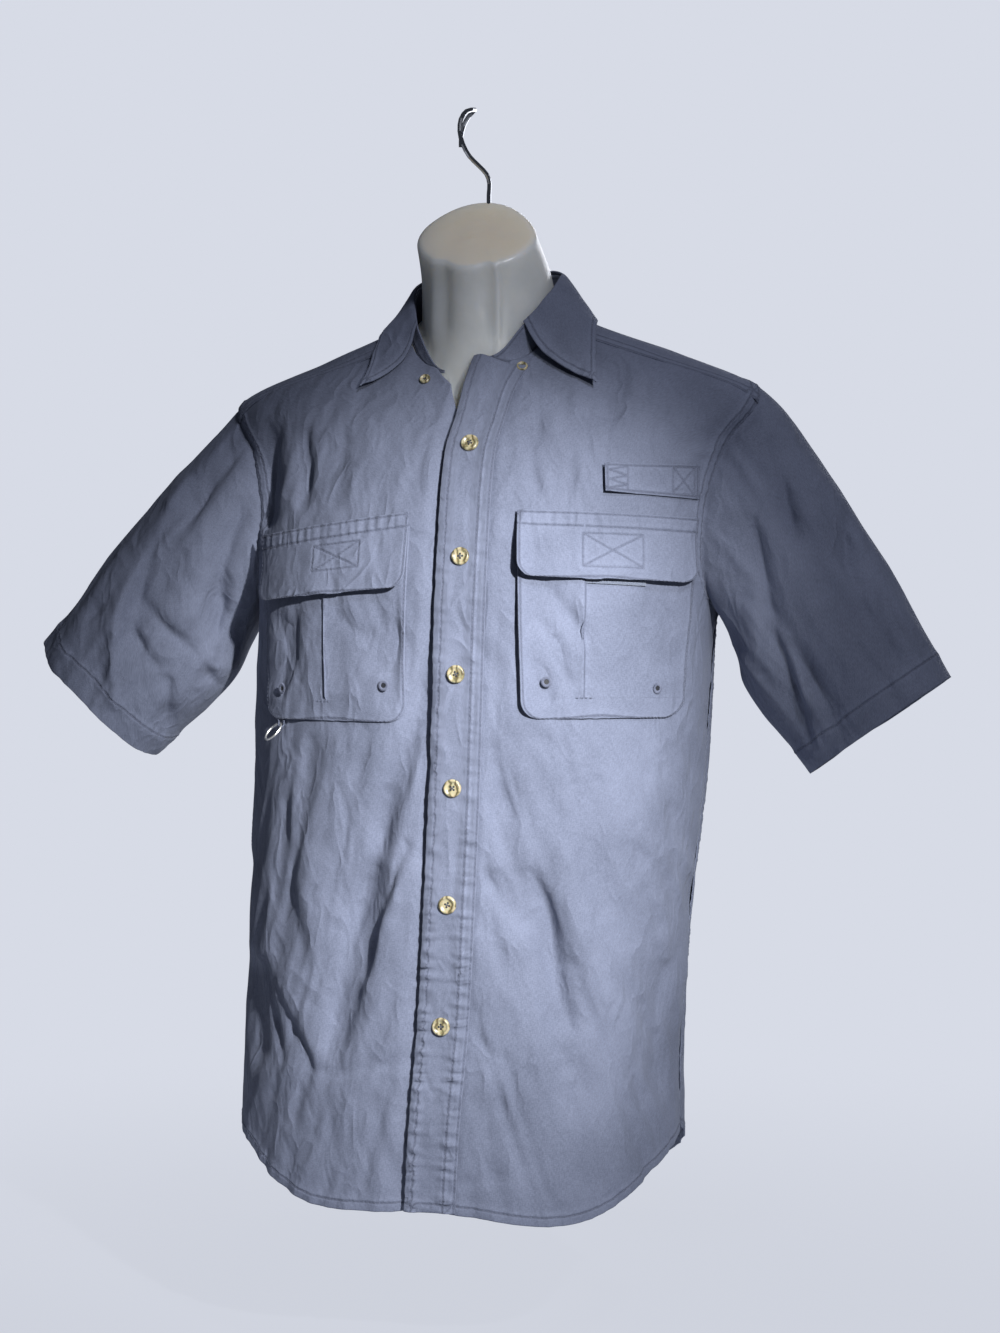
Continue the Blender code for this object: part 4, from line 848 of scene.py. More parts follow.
def sleevePlace(side):
    sign = 1.0 if side == "left" else -1.0
    sections = [tuple(float(x) for x in row) for row in sleeves[side]]

    def sectionPoint(row, angle):
        topX, topZ, lowX, lowZ, depth, middleY = row
        c, s = np.cos(angle), np.sin(angle)
        reach = (np.sign(c) * np.abs(c) ** 0.9 + 1.0) / 2.0
        return stack(mix(lowX, topX, reach), middleY - depth * np.sign(s) * np.abs(s) ** 0.9, mix(lowZ, topZ, reach))

    def place(u, v):
        angle = 2.0 * np.pi * u
        part = np.where(u <= 0.5, u * 2.0, 2.0 - u * 2.0)
        turn, z = armhole(side, part, u > 0.5)
        start = bodyPoint(turn, z, -0.9) + stack(sign * mix(1.15, 2.4, ease(part)), 0.0, 0.0)
        turnIn, zIn = armhole(side, part, u > 0.5, 1.045)
        tucked = bodyPoint(turnIn, zIn, -2.2)
        points = [start] + [sectionPoint(row, angle) for row in sections]
        first = sleeves["tuck"]  # the share of the length that is tucked in under the armhole's seam
        run = np.clip((v - first) / (1.0 - first), 0.0, 1.0)
        scaled = run * (len(points) - 1)
        found = np.zeros(u.shape + (3,))
        for at in range(len(points) - 1):
            here = (np.minimum(scaled.astype(int), len(points) - 2) == at)[..., None]
            t = (scaled - at)[..., None]
            p0, p1 = points[max(at - 1, 0)], points[at]
            p2, p3 = points[at + 1], points[min(at + 2, len(points) - 1)]
            h = t * t * (3.0 - 2.0 * t)
            curve = (p1 * (1.0 - h) + p2 * h + (p2 - p0) / 2.0 * (t * (1.0 - t) ** 2)
                     - (p3 - p1) / 2.0 * (t * t * (1.0 - t)))
            found = np.where(here, curve, found)
        fold = np.zeros(u.shape)
        for turn1, turn2, begin, last, width, depth in sleeves["folds" + side.capitalize()]:
            away = (np.degrees(angle) - mix(turn1, turn2, run)) / width
            fold += depth * ease((run - begin) / 0.22) * ease((last - run) / 0.12 + 0.5) * np.exp(-away ** 2)
        middle = sum(sectionPoint(sections[min(2, len(sections) - 1)], np.full(u.shape, a * math.pi / 2.0))
                     for a in range(4)) / 4.0
        inward = middle - found
        inward[..., 0] *= 0.6
        found = found + unit(inward) * (fold * ease(run / 0.25))[..., None]
        return np.where((v < first)[..., None], mix(tucked, found, (v / first)[..., None]), found)
    return place


def sleeveForm(side):
    def shape(piece, u, v):
        x, z, facing = piece.points[..., 0], piece.points[..., 2], piece.normals[..., 1]
        depth = creaseDepth(x, z, sleeveCreases[side], sleeves["frontGain"]) * ease(-facing * 2.5)
        depth += creaseDepth(x, z, sleeveCreases["rear"], sleeves["rearGain"]) * ease(facing * 2.5)
        ripple = 0.8 * wobble(piece.edges["left"], 4.0) * np.exp(-(piece.edges["start"] / 24.0) ** 2)
        ripple += 0.5 * wobble(piece.edges["left"], 9.0) * np.exp(-(piece.edges["end"] / 26.0) ** 2)
        hem = 0.5 * (1.0 - ease((piece.edges["end"] - sleeves["hem"]) / 2.0))
        around = piece.edges["left"]
        drawn = np.maximum(0.0, np.sin(around / 1.5 + 2.5 * wobble(around, 5.0)))
        drawn = drawn * (0.6 + 0.6 * wobble(around * 0.4, 2.0))
        hem += 1.3 * drawn * np.exp(-((piece.edges["end"] - sleeves["hem"]) / 6.0) ** 2)
        return (ripple - depth) * ease((v - sleeves["tuck"]) / 0.08) + hem
    return shape


for side in ("right", "left"):
    us = np.linspace(0.0, 1.0, sleeves["columns"] + 1)
    vs = np.concatenate([[0.0, 0.04, 0.06, 0.09], np.linspace(0.12, 0.94, sleeves["rows"] - 9),
                         [0.955, 0.97, 0.98, 0.987, 0.994, 1.0]])
    piece = layCloth("sleeve_" + side, us, vs, sleevePlace(side), flip=side == "right", closed=True, creases=False,
                     rumple=0.9, shape=sleeveForm(side), held=("start",),
                     pull=lambda x, z, side=side: (0.7 if side == "left" else -0.7, 0.8))
    sewPiece(piece, sleeves["wall"], (("end", sleeves["hem"], 0.0, 0.0),))

print("stage: collar and placket")
collarShape = {
    "fold": ((0, -212), (12, -205), (40, -185), (66, -160), (92, -141), (135, -131), (180, -128), (225, -133),
             (268, -146), (290, -166), (304, -186), (330, -203), (345, -212)),
    "edge": ((106, -71, 3.2), (100, -42, 3.2), (95, 0, 3.4), (80, 34, 3.8), (48, 58, 5), (6, 68, 6), (-36, 56, 5),
             (-64, 32, 3.6), (-78, 0, 3.2), (-84, -33, 3.2), (-89, -69, 3.2)),
    "turns": (40.0, 302.0), "standTurns": (4.0, 336.0), "wall": 1.3, "edgeRow": 5.2, "gain": 2.0,
}
collarCreases = (
    (5, 4, 1.3, 72, -196, 64, -206, 54, -212), (4, 4, 1.1, 86, -184, 74, -190, 66, -196),
    (4, 4, 1.2, 92, -206, 84, -214, 74, -219), (4, 3, 1.0, 60, -218, 76, -226, 88, -232),
    (5, 4, 1.3, -70, -206, -82, -214, -88, -226), (4, 4, 1.1, -56, -190, -66, -200, -72, -212),
    (4, 3, 1.0, -60, -222, -74, -228, -88, -236),
)


def neckRing(turn, radius, z):
    angle = np.radians(turn)
    x, y = shirtBody["neckMiddle"]
    return stack(x + radius * np.sin(angle), y - radius * np.cos(angle), z)


def standPlace(u, v):
    turn = mix(*collarShape["standTurns"], u)
    bodyTurn, baseZ = neckline(np.where(turn <= 180.0, turn, turn - 360.0))
    base = neckRing(turn, seamRadius(turn) - 1.9, bodyPoint(bodyTurn, baseZ)[..., 2] - 3.4)
    top = neckRing(turn, shirtBody["standTopRadius"], readTable(collarShape["fold"], turn)[..., 0] - 1.0)
    tapered = v * (0.1 + 0.9 * ease(u / 0.115)) * (0.15 + 0.85 * ease((1.0 - u) / 0.10))
    return mix(base, top, tapered[..., None])


def collarPlace(u, v):
    turn = mix(*collarShape["turns"], u)
    fold = neckRing(turn, shirtBody["standTopRadius"], readTable(collarShape["fold"], turn)[..., 0])
    rows = [(i / (len(collarShape["edge"]) - 1.0), *row) for i, row in enumerate(collarShape["edge"])]
    x, y, lift = np.moveaxis(readTable(rows, u), -1, 0)
    lifted = lift + 7.5 * np.exp(-np.minimum(u, 1.0 - u) / 0.10) * ease((v - 0.2) / 0.5)
    edge = stack(x, y, heightAt(x, y) + lifted)
    outward = neckRing(turn, 1.0, 0.0) - neckRing(turn, 0.0, 0.0)
    early = np.minimum(1.0, v / 0.18)
    roll, rise = 2.2 * np.sin(early * np.pi / 2.0), 2.2 + 0.6 * np.sin(early * np.pi)
    puff = 1.1 * np.sin(np.pi * v)
    point = mix(fold, edge, (ease(v) * 0.35 + v * 0.65)[..., None])
    point = point + outward * (roll * (1.0 - v) + puff)[..., None]
    point[..., 2] += rise * (1.0 - v) + puff * 0.35
    bow = np.sin(np.pi * np.minimum(1.0, v * 1.05)) * (np.exp(-(1.0 - u) / 0.08) - 0.75 * np.exp(-u / 0.08))
    point = point + stack(9.0 * bow, 0.0, -7.0 * np.abs(bow))
    return point


piece = layCloth("collar_stand", spreadOut(130, 390.0), spreadOut(16, 32.0, (0.8, 2.0, 4.0)), standPlace,
                 creases=False, rumple=0.3)
sewPiece(piece, collarShape["wall"], (("start", 2.0, 2.0, 2.0), ("left", 2.5, 2.0, 2.0), ("end", 3.0, 3.0, 3.0)))


def collarForm(piece, u, v):
    ripple = edgePuckers((("end", 0.4, 9.0), ("left", 0.4, 8.0), ("right", 0.4, 8.0)), 6)(piece, u, v)
    depth = creaseDepth(piece.points[..., 0], piece.points[..., 2], collarCreases, collarShape["gain"])
    return ripple - depth * np.minimum(1.0, v * 4.0)


piece = layCloth("collar", spreadOut(150, 440.0), spreadOut(30, 56.0, (0.8, 1.8, 3.4, 5.6)), collarPlace, flip=True,
                 creases=False, rumple=2.0, shape=collarForm,
                 pull=lambda x, z: (0.6 * np.sign(x), 0.6 * ease((100.0 + z) / -60.0)))
away = collarShape["edgeRow"]
sewPiece(piece, collarShape["wall"], (("end", away, away, away), ("left", away, 4.0, away),
                                      ("right", away, 4.0, away)))


def placketPlace(u, v):
    z = mix(-889.5, neckline(mix(-3.0, 31.0, u))[1] - 1.2, v)
    half = placketShape["half"]
    wave = 0.5 * wobble(z, 1.0) * (1.0 - u) * ease((-300.0 - z) / 60.0)
    return surfaceOnFront(placketMiddle(z) + mix(-half, half + 2.0, u) + wave, z, placketShape["lift"])[0]


def placketForm(piece, u, v):
    z = piece.points[..., 2]
    low = ease((-560.0 - z) / 160.0)  # the puckers grow towards the hem
    across = 0.55 + 0.45 * np.cos(2.0 * np.pi * (u - 0.9))
    broad = (0.25 + 0.75 * low) * 0.9 * wobble(z * 1.15 + 6.0 * u, 2.0) * across
    drawn = 0.0  # short puckers across every stitched row
    for at, reach, seed in placketShape["puckerRows"]:
        phase = z / placketShape["puckerPitch"] * 2.0 * np.pi + 3.0 * u
        phase = phase + 2.6 * np.sin(z / 17.0 + seed) + 1.7 * np.sin(z / 6.1 + 2.0 * seed)
        drawn = drawn + np.maximum(0.0, np.sin(phase)) ** 1.3 * np.exp(-((u - at) / reach) ** 2)
    drawn = (drawn + 0.35 * np.maximum(0.0, wobble(z * 1.3, 8.0))) * (0.35 + 0.65 * low)
    drawn = drawn * (0.7 + 0.6 * wobble(z * 0.5, 3.0))
    return broad + placketShape["puckerHeight"] * drawn - 0.5 * (np.abs(2.0 * u - 1.0) ** 6)


piece = layCloth("placket", spreadOut(placketShape["columns"], 41.0, (0.7, 1.8, 3.4)),
                 spreadOut(placketShape["rows"], 685.0), placketPlace, rumple=0.35, shape=placketForm)
sewPiece(piece, placketShape["wall"], (("left", 6.0, 3.0, 3.0), ("right", 1.6, 3.0, 3.0), ("right", 10.5, 3.0, 3.0),
                                       ("start", 7.0, 1.0, 1.0)))

print("stage: pockets, flaps and tab")
pocketShape = {
    "right": {"outerTop": (-171.0, -356.0), "innerTop": (-35.0, -342.0), "outerLow": (-165.0, -505.0),
              "innerLow": (-36.0, -507.0), "flap": 54.0, "pleat": 0.47, "box": (0.40, 0.30, 0.70, 0.66), "gape": 1.4},
    "left": {"outerTop": (183.0, -345.0), "innerTop": (51.0, -341.0), "outerLow": (172.0, -503.0),
             "innerLow": (56.0, -504.0), "flap": 51.0, "pleat": 0.60, "box": (0.285, 0.32, 0.62, 0.82), "gape": 4.8},
    "lift": 0.8, "corner": 15.0, "wall": 1.0, "puff": 1.8, "pleatStep": 1.7, "gain": 2.9, "rowAway": 2.2,
    "tackHalf": 6.5, "flapCorner": 12.0, "flapRise": 6.5, "flapRows": (1.6, 11.5),
}
pocketCreases = {
    "left": ((6, 5, 1.5, 70, -392, 92, -420, 112, -446), (6, 5, 1.3, 66, -420, 84, -448, 92, -480),
             (5, 5, 1.2, 150, -398, 166, -430, 168, -470), (5, 4, 1.0, 60, -452, 74, -470, 80, -494),
             (6, 6, 0.9, 128, -420, 140, -450, 138, -488)),
    "right": ((6, 5, 1.6, -150, -420, -140, -450, -150, -490),
              (6, 5, 1.2, -62, -402, -54, -440, -60, -470),
              (6, 6, 1.0, -100, -410, -84, -430, -60, -440),
              (5, 5, 1.2, -128, -400, -136, -440, -130, -480),
              (4, 4, 1.0, -46, -400, -44, -450, -50, -496)),
}


def patchPlace(corners, corner, lift):
    topA, topB, lowA, lowB = [np.array(c, dtype=float) for c in corners]
    width, height = abs(topB[0] - topA[0]), abs(lowA[1] - topA[1])

    def place(u, v):
        fromLow = (1.0 - v) * height
        drop = np.maximum(0.0, corner ** 2 - (corner - fromLow) ** 2)
        inset = np.where(fromLow < corner, corner - np.sqrt(drop), 0.0)
        uu = 0.5 + (u - 0.5) * (1.0 - 2.0 * inset / width)
        x = mix(mix(topA[0], topB[0], uu), mix(lowA[0], lowB[0], uu), v)
        z = mix(mix(topA[1], topB[1], uu), mix(lowA[1], lowB[1], uu), v)
        return surfaceOnFront(x, z, lift(uu, v))[0]
    return place


def lowRows(count, height, corner):  # grid lines crowd towards a rounded lower edge
    bend = 1.0 - (corner / height) * (1.0 - np.sin(np.linspace(0.0, math.pi / 2.0, 12)))
    return np.concatenate([[0.0, 1.0 / height, 2.5 / height], np.linspace(5.0 / height, bend[0], count)[:-1], bend])


def along(a, b, t):
    return mix(a[0], b[0], t), mix(a[1], b[1], t)


for side in ("right", "left"):
    size = pocketShape[side]
    outerTop, innerTop, outerLow, innerLow = size["outerTop"], size["innerTop"], size["outerLow"], size["innerLow"]
    corners = (along(outerTop, outerLow, 0.06), along(innerTop, innerLow, 0.06), outerLow, innerLow)
    pleat, wall = size["pleat"], pocketShape["wall"]

    def pocketLift(u, v, pleat=pleat, size=size):
        swell = np.sin(np.pi * np.clip(u, 0.0, 1.0)) ** 0.5 * np.sin(np.pi * np.minimum(0.96, v + 0.04))
        fade = np.exp(-np.maximum(0.0, u - pleat) * 9.0) * ease((0.90 - v) / 0.04)
        step = pocketShape["pleatStep"] * fade * ease((u - pleat) / 0.009 + 0.5)
        gape = size["gape"] * np.exp(-((1.0 - u) / 0.05) ** 2) * ease(v * 1.4)
        return pocketShape["lift"] + wall + pocketShape["puff"] * swell + step + gape

    pleatLines = pleat + np.array([-0.016, -0.0055, 0.0, 0.0055, 0.016])
    us = np.unique(np.concatenate([spreadOut(44, 132.0, (0.8, 2.0, 3.6, 6.0)), pleatLines]))
    vs = lowRows(36, 140.0, pocketShape["corner"])

    def pocketForm(piece, u, v, side=side):
        x, z = piece.points[..., 0], piece.points[..., 2]
        edge = np.minimum(np.minimum(piece.edges["left"], piece.edges["right"]), piece.edges["end"])
        ripple = edgePuckers((("left", 0.35, 9.0), ("right", 0.35, 9.0), ("end", 0.3, 9.0)), 3.0)(piece, u, v)
        return ripple - creaseDepth(x, z, pocketCreases[side], pocketShape["gain"]) - 0.5 * np.exp(-(edge / 1.4) ** 2)

    piece = layCloth("pocket_" + side, us, vs, patchPlace(corners, pocketShape["corner"], pocketLift),
                     flip=side == "right", rumple=0.7, shape=pocketForm, pull=lambda x, z: (0.25 * np.sign(x), 0.3))
    u, v = np.meshgrid(us, vs)
    tackZ = mix(outerTop[1], outerLow[1], 0.9)
    tackX = mix(mix(outerTop[0], innerTop[0], pleat), mix(outerLow[0], innerLow[0], pleat), 0.9)
    reach, away = pocketShape["tackHalf"], pocketShape["rowAway"]
    tack = straightRow((tackX - reach, tackZ), (tackX + reach, tackZ), pocketShape["lift"] + wall + 1.6)
    sewPiece(piece, wall, (("left", away, 4.0, 2.0), ("right", away, 4.0, 2.0), ("end", away, 1.0, 1.0)),
             tacks=(tack,), pleat=np.where(v < 0.9, (u - pleat) * piece.cut[0], noRow))
    share = size["flap"] / (outerTop[1] - outerLow[1])
    low = (along(outerTop, outerLow, share), along(innerTop, innerLow, share))

    def flapLift(u, v, size=size):
        gape = size["gape"] * np.exp(-((1.0 - u) / 0.06) ** 2) * ease(v * 2.0)
        return pocketShape["lift"] * 1.6 + 2.0 * wall + 0.6 + pocketShape["flapRise"] * v * v + gape

    def flapForm(piece, u, v):
        wave = 0.9 * wobble(piece.edges["left"] * 0.4, 5.0) * ease(v * 1.2)
        wave = wave + felledBand("start", pocketShape["flapRows"][1], 0.7)(piece, u, v)
        edge = np.minimum(np.minimum(piece.edges["left"], piece.edges["right"]), piece.edges["end"])
        band = -0.45 * np.exp(-((piece.edges["start"] - 11.0) / 1.6) ** 2)
        return wave + band - 0.5 * np.exp(-(edge / 1.2) ** 2)

    corner = pocketShape["flapCorner"]
    piece = layCloth("flap_" + side, spreadOut(100, 134.0, (0.7, 1.6, 3.0, 5.0)), lowRows(34, size["flap"], corner),
                     patchPlace((outerTop, innerTop, *low), corner, flapLift), flip=side == "right", rumple=0.4,
                     shape=flapForm)
    sewPiece(piece, wall, [("start", offset, 1.0, 1.0) for offset in pocketShape["flapRows"]] + [
        ("left", 2.0, 2.0, 1.5), ("right", 2.0, 2.0, 1.5), ("end", 2.0, 0.5, 0.5)],
             [patternRow(piece, corners) for corners in boxed(*size["box"])])

tabShape = {"corners": ((186.0, -303.0), (116.0, -304.0), (185.0, -330.0), (117.0, -326.0)), "wall": 1.0}


def tabLift(u, v):
    return pocketShape["lift"] + tabShape["wall"] + 3.4 * ease((u - 0.55) / 0.45)


piece = layCloth("rod_tab", spreadOut(60, 69.0, (0.6, 1.5, 3.0)), spreadOut(26, 25.0, (0.6, 1.5, 3.0)),
                 patchPlace(tabShape["corners"], 0.1, tabLift), rumple=0.3)
edges = ("left", "right", "start", "end")
crosses = [patternRow(piece, corners) for corners in boxed(0.05, 0.09, 0.27, 0.91) + (
    [(0.76 + 0.19 * (k % 2), 0.1 + 0.16 * k) for k in range(6)], ((0.75, 0.09), (0.75, 0.91)))]
sewPiece(piece, tabShape["wall"], [(edge, 1.8, 1.8, 1.8) for edge in edges], crosses)

patchShape = {"corners": ((146.0, -380.0), (98.0, -379.0), (146.0, -400.0), (98.0, -398.0)), "wall": 0.8}


def loopTape(name):
    # Woven nylon loop tape: dull, with a fuzzy pile of loops about 1 mm across.
    made, tree, shader, place = newMaterial(name, {"Roughness": 0.95, "Sheen Weight": 0.4, "IOR": 1.53})
    loops = addNode(tree, "TexVoronoi", {"Vector": place, "Scale": 900.0})
    bump = addNode(tree, "Bump", {"Height": loops, "Strength": 0.9, "Distance": 0.6 * mm})
    ramp = addNode(tree, "ValToRGB", {0: loops})
    setStops(ramp, ((0.0, "#7d8596"), (1.0, "#565d70")))
    plug(tree, shader, {"Base Color": ramp, "Normal": bump})
    return made


piece = layCloth("loop_patch_left", spreadOut(24, 48.0, (0.6, 1.5)), spreadOut(12, 20.0, (0.6, 1.5)),
                 patchPlace(patchShape["corners"], 0.1, lambda u, v: 4.0 + patchShape["wall"]), rumple=0.2)
sewPiece(piece, patchShape["wall"], [(edge, 1.8) for edge in edges], material=loopTape("nylon loop tape"))

print("stage: tool ring's loop, buttons and eyelets")
ringPlace = {"seat": (-146.5, -509.5), "lift": 3.6, "tangent": (0.454, -0.84, -0.27),
             "bend": 1.7, "width": 4.0, "leg": 3.1}
seat = surfaceOnFront(*ringPlace["seat"], ringPlace["lift"])[0]
tangent = unit(np.array(ringPlace["tangent"]))
upward = unit(np.array((0.0, 0.0, 1.0)) - tangent * tangent[2])
sideways = np.cross(tangent, upward)


def ringLoopPlace(u, v):
    legDown, legUp = (v < 0.2), (v > 0.8)
    angle = np.pi * (v - 0.2) / 0.6
    a = np.where(legDown, 1.0, np.where(legUp, -1.0, np.cos(angle))) * ringPlace["bend"]
    b = np.where(legDown, ringPlace["leg"] * (1.0 - v / 0.2),
                 np.where(legUp, ringPlace["leg"] * (v - 0.8) / 0.2, -np.sin(angle) * ringPlace["bend"]))
    c = ringPlace["width"] * (u - 0.5)
    return seat + a[..., None] * sideways + b[..., None] * upward + c[..., None] * tangent


piece = layCloth("ring_loop", np.linspace(0.0, 1.0, 9), np.linspace(0.0, 1.0, 41), ringLoopPlace, creases=False,
                 rumple=0.05)
sewPiece(piece, 0.8, (("left", 0.8), ("right", 0.8)))
pieces["pocket_right"].parts.append(piece.object)

buttonShape = {"radius": 7.2, "thickness": 2.6, "heights": (-287, -377, -469, -558, -649, -744),
               "collar": {"right": (-35.5, -231.5), "left": (43.5, -224.5)}, "collarRadius": 4.6,
               "collarThickness": 2.2,
               # shares of the radius: how far out its four holes are, and their size
               "holeAway": 0.235, "holeRadius": 0.125,
               # turned section from the middle outwards: share of the radius, share of the thickness
               "profile": ((0.0, 0.5), (0.5, 0.5), (0.6, 0.56), (0.7, 0.82), (0.8, 0.96), (0.88, 0.92), (0.96, 0.7),
                           (1.0, 0.4), (0.99, 0.12), (0.93, 0.0), (0.5, 0.0), (0.0, 0.0))}


def hornResin(name):
    # Cast polyester cut to look like horn: glossy, creamy, with brown streaks and a slight depth to the colour.
    made, tree, shader, place = newMaterial(name, {
        "Roughness": 0.34, "IOR": 1.56, "Coat Weight": 0.2, "Coat Roughness": 0.2, "Subsurface Weight": 0.12,
        "Subsurface Scale": 1.5 * mm})
    drift = addNode(tree, "TexNoise", {"Vector": place, "Scale": 95.0, "Detail": 4.0, "Distortion": 1.2})
    streaks = addNode(tree, "TexWave", {"Vector": place, "Scale": 60.0, "Distortion": 9.0, "Detail": 3.0,
                                        "Detail Scale": 1.6})
    both = addNode(tree, "Math", {0: drift, 1: streaks.outputs[1]}, operation="MULTIPLY")
    ramp = addNode(tree, "ValToRGB", {0: both})
    setStops(ramp, ((0.0, "#574f38"), (0.42, "#aaa184"), (0.16, "#8a8262")))
    plug(tree, shader, {"Base Color": ramp})
    return made


horn = hornResin("cast polyester resin")
# painted shade: near-black discs stand in for the shade inside the button holes and eyelets, so that the holes read
# as deep
holeShade = coreSpunThread("unlit cloth in the holes", ("#0c0e16", "#161a26"))
darkThread = coreSpunThread("polyester button thread", ("#232a3f", "#39425c"))


def seatOn(point, normal):  # a base standing on the cloth, its z outwards
    middle = Vector((point[0] + shirtBody["shift"], point[1], point[2])) * mm
    return Matrix.Translation(middle) @ Vector(normal).to_track_quat("Z", "Y").to_matrix().to_4x4()


def sewButton(name, place, radius, thickness, turn):
    base, hollow = seatOn(*place) @ Matrix.Rotation(turn, 4, "Z"), buttonShape["profile"][1][1] * thickness
    disc, pits, crossed = bmesh.new(), bmesh.new(), bmesh.new()
    corners = [disc.verts.new((r * radius * mm, 0.0, h * thickness * mm)) for r, h in buttonShape["profile"]]
    sides = [disc.edges.new(pair) for pair in zip(corners, corners[1:])]
    bmesh.ops.spin(disc, geom=corners + sides, cent=(0.0, 0.0, 0.0), axis=(0.0, 0.0, 1.0), angle=2.0 * math.pi,
                   steps=40, use_merge=True)
    bmesh.ops.remove_doubles(disc, verts=disc.verts, dist=0.000002)
    bmesh.ops.recalc_face_normals(disc, faces=disc.faces)
    disc.transform(base)
    finishPiece(name + "_resin", disc, horn, name)
    # painted shade: a dark disc in each of the four holes
    for k in range(4):
        around, away = math.pi * (0.25 + 0.5 * k), radius * buttonShape["holeAway"] * mm
        spot = Matrix.Translation((away * math.cos(around), away * math.sin(around), (hollow + 0.03) * mm))
        bmesh.ops.create_circle(pits, cap_ends=True, segments=14, radius=radius * buttonShape["holeRadius"] * mm,
                                matrix=base @ spot)
    finishPiece("pits_" + name, pits, holeShade)
    for sign in (1.0, -1.0):
        lie = (Matrix.Translation((0.0, 0.0, (hollow + 0.08 + 0.07 * sign) * mm))
               @ Matrix.Rotation(sign * math.pi / 4.0, 4, "Z") @ Matrix.Rotation(math.pi / 2.0, 4, "Y")
               @ Matrix.Diagonal((0.3 * mm, 0.34 * mm, radius * 0.23 * mm, 1.0)))
        bmesh.ops.create_uvsphere(crossed, u_segments=8, v_segments=8, radius=1.0, matrix=base @ lie)
    finishPiece("thread_" + name, crossed, darkThread)


for index, z in enumerate(buttonShape["heights"], 1):
    place = surfaceOnFront(placketMiddle(z), z, placketShape["lift"] + 0.5)
    sewButton("button_%d" % index, place, buttonShape["radius"], buttonShape["thickness"], 0.4 * index)
for side, spot in buttonShape["collar"].items():
    sewButton("collar_button_" + side, surfaceOnFront(*spot, 0.9), buttonShape["collarRadius"],
              buttonShape["collarThickness"], 0.7)

eyeletShape = {"places": ((-53.0, -478.0), (-146.0, -481.0), (75.0, -475.0), (154.0, -480.0)), "radius": 4.4,
               "hole": 2.0, "stitches": 30}
for index, (x, z) in enumerate(eyeletShape["places"], 1):
    base = seatOn(*surfaceOnFront(x, z, pocketShape["lift"] + pocketShape["wall"] + 1.3))
    ring, shadow, middle = bmesh.new(), bmesh.new(), (eyeletShape["radius"] + eyeletShape["hole"]) / 2.0
    for k in range(eyeletShape["stitches"]):  # radial satin stitches from the hole's edge outwards
        lie = (Matrix.Rotation(2.0 * math.pi * k / eyeletShape["stitches"], 4, "Z")
               @ Matrix.Translation((middle * mm, 0.0, 0.35 * mm)) @ Matrix.Rotation(math.pi / 2.0, 4, "Y")
               @ Matrix.Diagonal((0.55 * mm, 0.42 * mm, 1.35 * mm, 1.0)))
        bmesh.ops.create_uvsphere(ring, u_segments=6, v_segments=5, radius=1.0, matrix=lie)
    ring.transform(base)
    # painted shade: a dark disc in the eyelet's hole
    bmesh.ops.create_circle(shadow, cap_ends=True, segments=20, radius=eyeletShape["hole"] * 1.1 * mm,
                            matrix=base @ Matrix.Translation((0.0, 0.0, 0.3 * mm)))
    finishPiece("eyelet_hole_%d" % index, shadow, holeShade)
    finishPiece("eyelet_%d_sewn" % index, ring, thread, "eyelet_%d" % index)

print("stage: torso form and wire")
formShape = {
    "bottom": -705.0, "tilt": 42.0, "turns": 144, "capMiddle": (-2.0, -32.0, -111.0), "rim": 6.0,
    # turn, half width in degrees and depth (minus stands out)
    "ridges": ((20.0, 1.9, -3.4), (12.0, 9.0, 2.6), (332.0, 7.0, 2.6), (318.0, 5.0, -1.4), (352.0, 12.0, -1.0)),
}


def frostedPlastic(name):
    # Blow-moulded polyethylene, frosted: milky, a little see-through, satin, wavy where the mould's walls are thin.
    made, tree, shader, place = newMaterial(name, {
        "Roughness": 0.32, "IOR": 1.51, "Specular IOR Level": 0.45, "Subsurface Weight": 0.85,
        "Subsurface Scale": 0.045, "Subsurface Radius": (1.0, 0.9, 0.75)})
    cloud = addNode(tree, "TexNoise", {"Vector": place, "Scale": 14.0, "Detail": 5.0, "Roughness": 0.6})
    ramp = addNode(tree, "ValToRGB", {0: cloud})
    setStops(ramp, ((0.3, "#cdd0cf"), (0.7, "#e0e1de")))
    wavy = addNode(tree, "TexNoise", {"Vector": place, "Scale": 60.0, "Detail": 2.0})
    frost = addNode(tree, "TexNoise", {"Vector": place, "Scale": 1100.0, "Detail": 2.0})
    both = addNode(tree, "Math", {0: frost, 1: 0.08, 2: wavy}, operation="MULTIPLY_ADD")
    bump = addNode(tree, "Bump", {"Height": both, "Strength": 0.5, "Distance": 1.2 * mm})
    facing = addNode(tree, "SeparateXYZ", {0: addNode(tree, "NewGeometry").outputs["Normal"]})
    upward = addNode(tree, "MapRange", {0: facing.outputs[2], 1: 0.35, 2: 0.75})
    # surfaces facing upwards, the tilted cap most, are coloured a warmer, lighter cream than the walls
    cap = addNode(tree, "Mix", {0: upward, 6: ramp, 7: hexColour("#eee4d2")}, data_type="RGBA").outputs[2]
    plug(tree, shader, {"Base Color": cap, "Normal": bump})
    return made


turns = formShape["turns"]
angles = np.arange(turns) * 2.0 * np.pi / turns
tilt = math.radians(formShape["tilt"])
capNormal = np.array((0.0, -math.sin(tilt), math.cos(tilt)))
capMiddle = np.array(formShape["capMiddle"])


def formColumn(z):  # the neck, leaning forward, with soft moulded ridges down its throat
    centreY, centreX = mix(-36.0, -6.0, ease((-85.0 - z) / 75.0)), mix(-3.0, 4.0, ease((-90.0 - z) / 60.0))
    degrees = np.degrees(angles)
    groove = sum(d * np.exp(-(((degrees - at + 180.0) % 360.0 - 180.0) / w) ** 2) for at, w, d in formShape["ridges"])
    groove = groove * ease((z + 205.0) / 25.0) * ease((-118.0 - z) / 14.0)
    radius = mix(49.0, 55.2, ease((-90.0 - z) / 70.0)) - groove
    return stack(centreX + radius * np.sin(angles), centreY - radius * np.cos(angles), z)


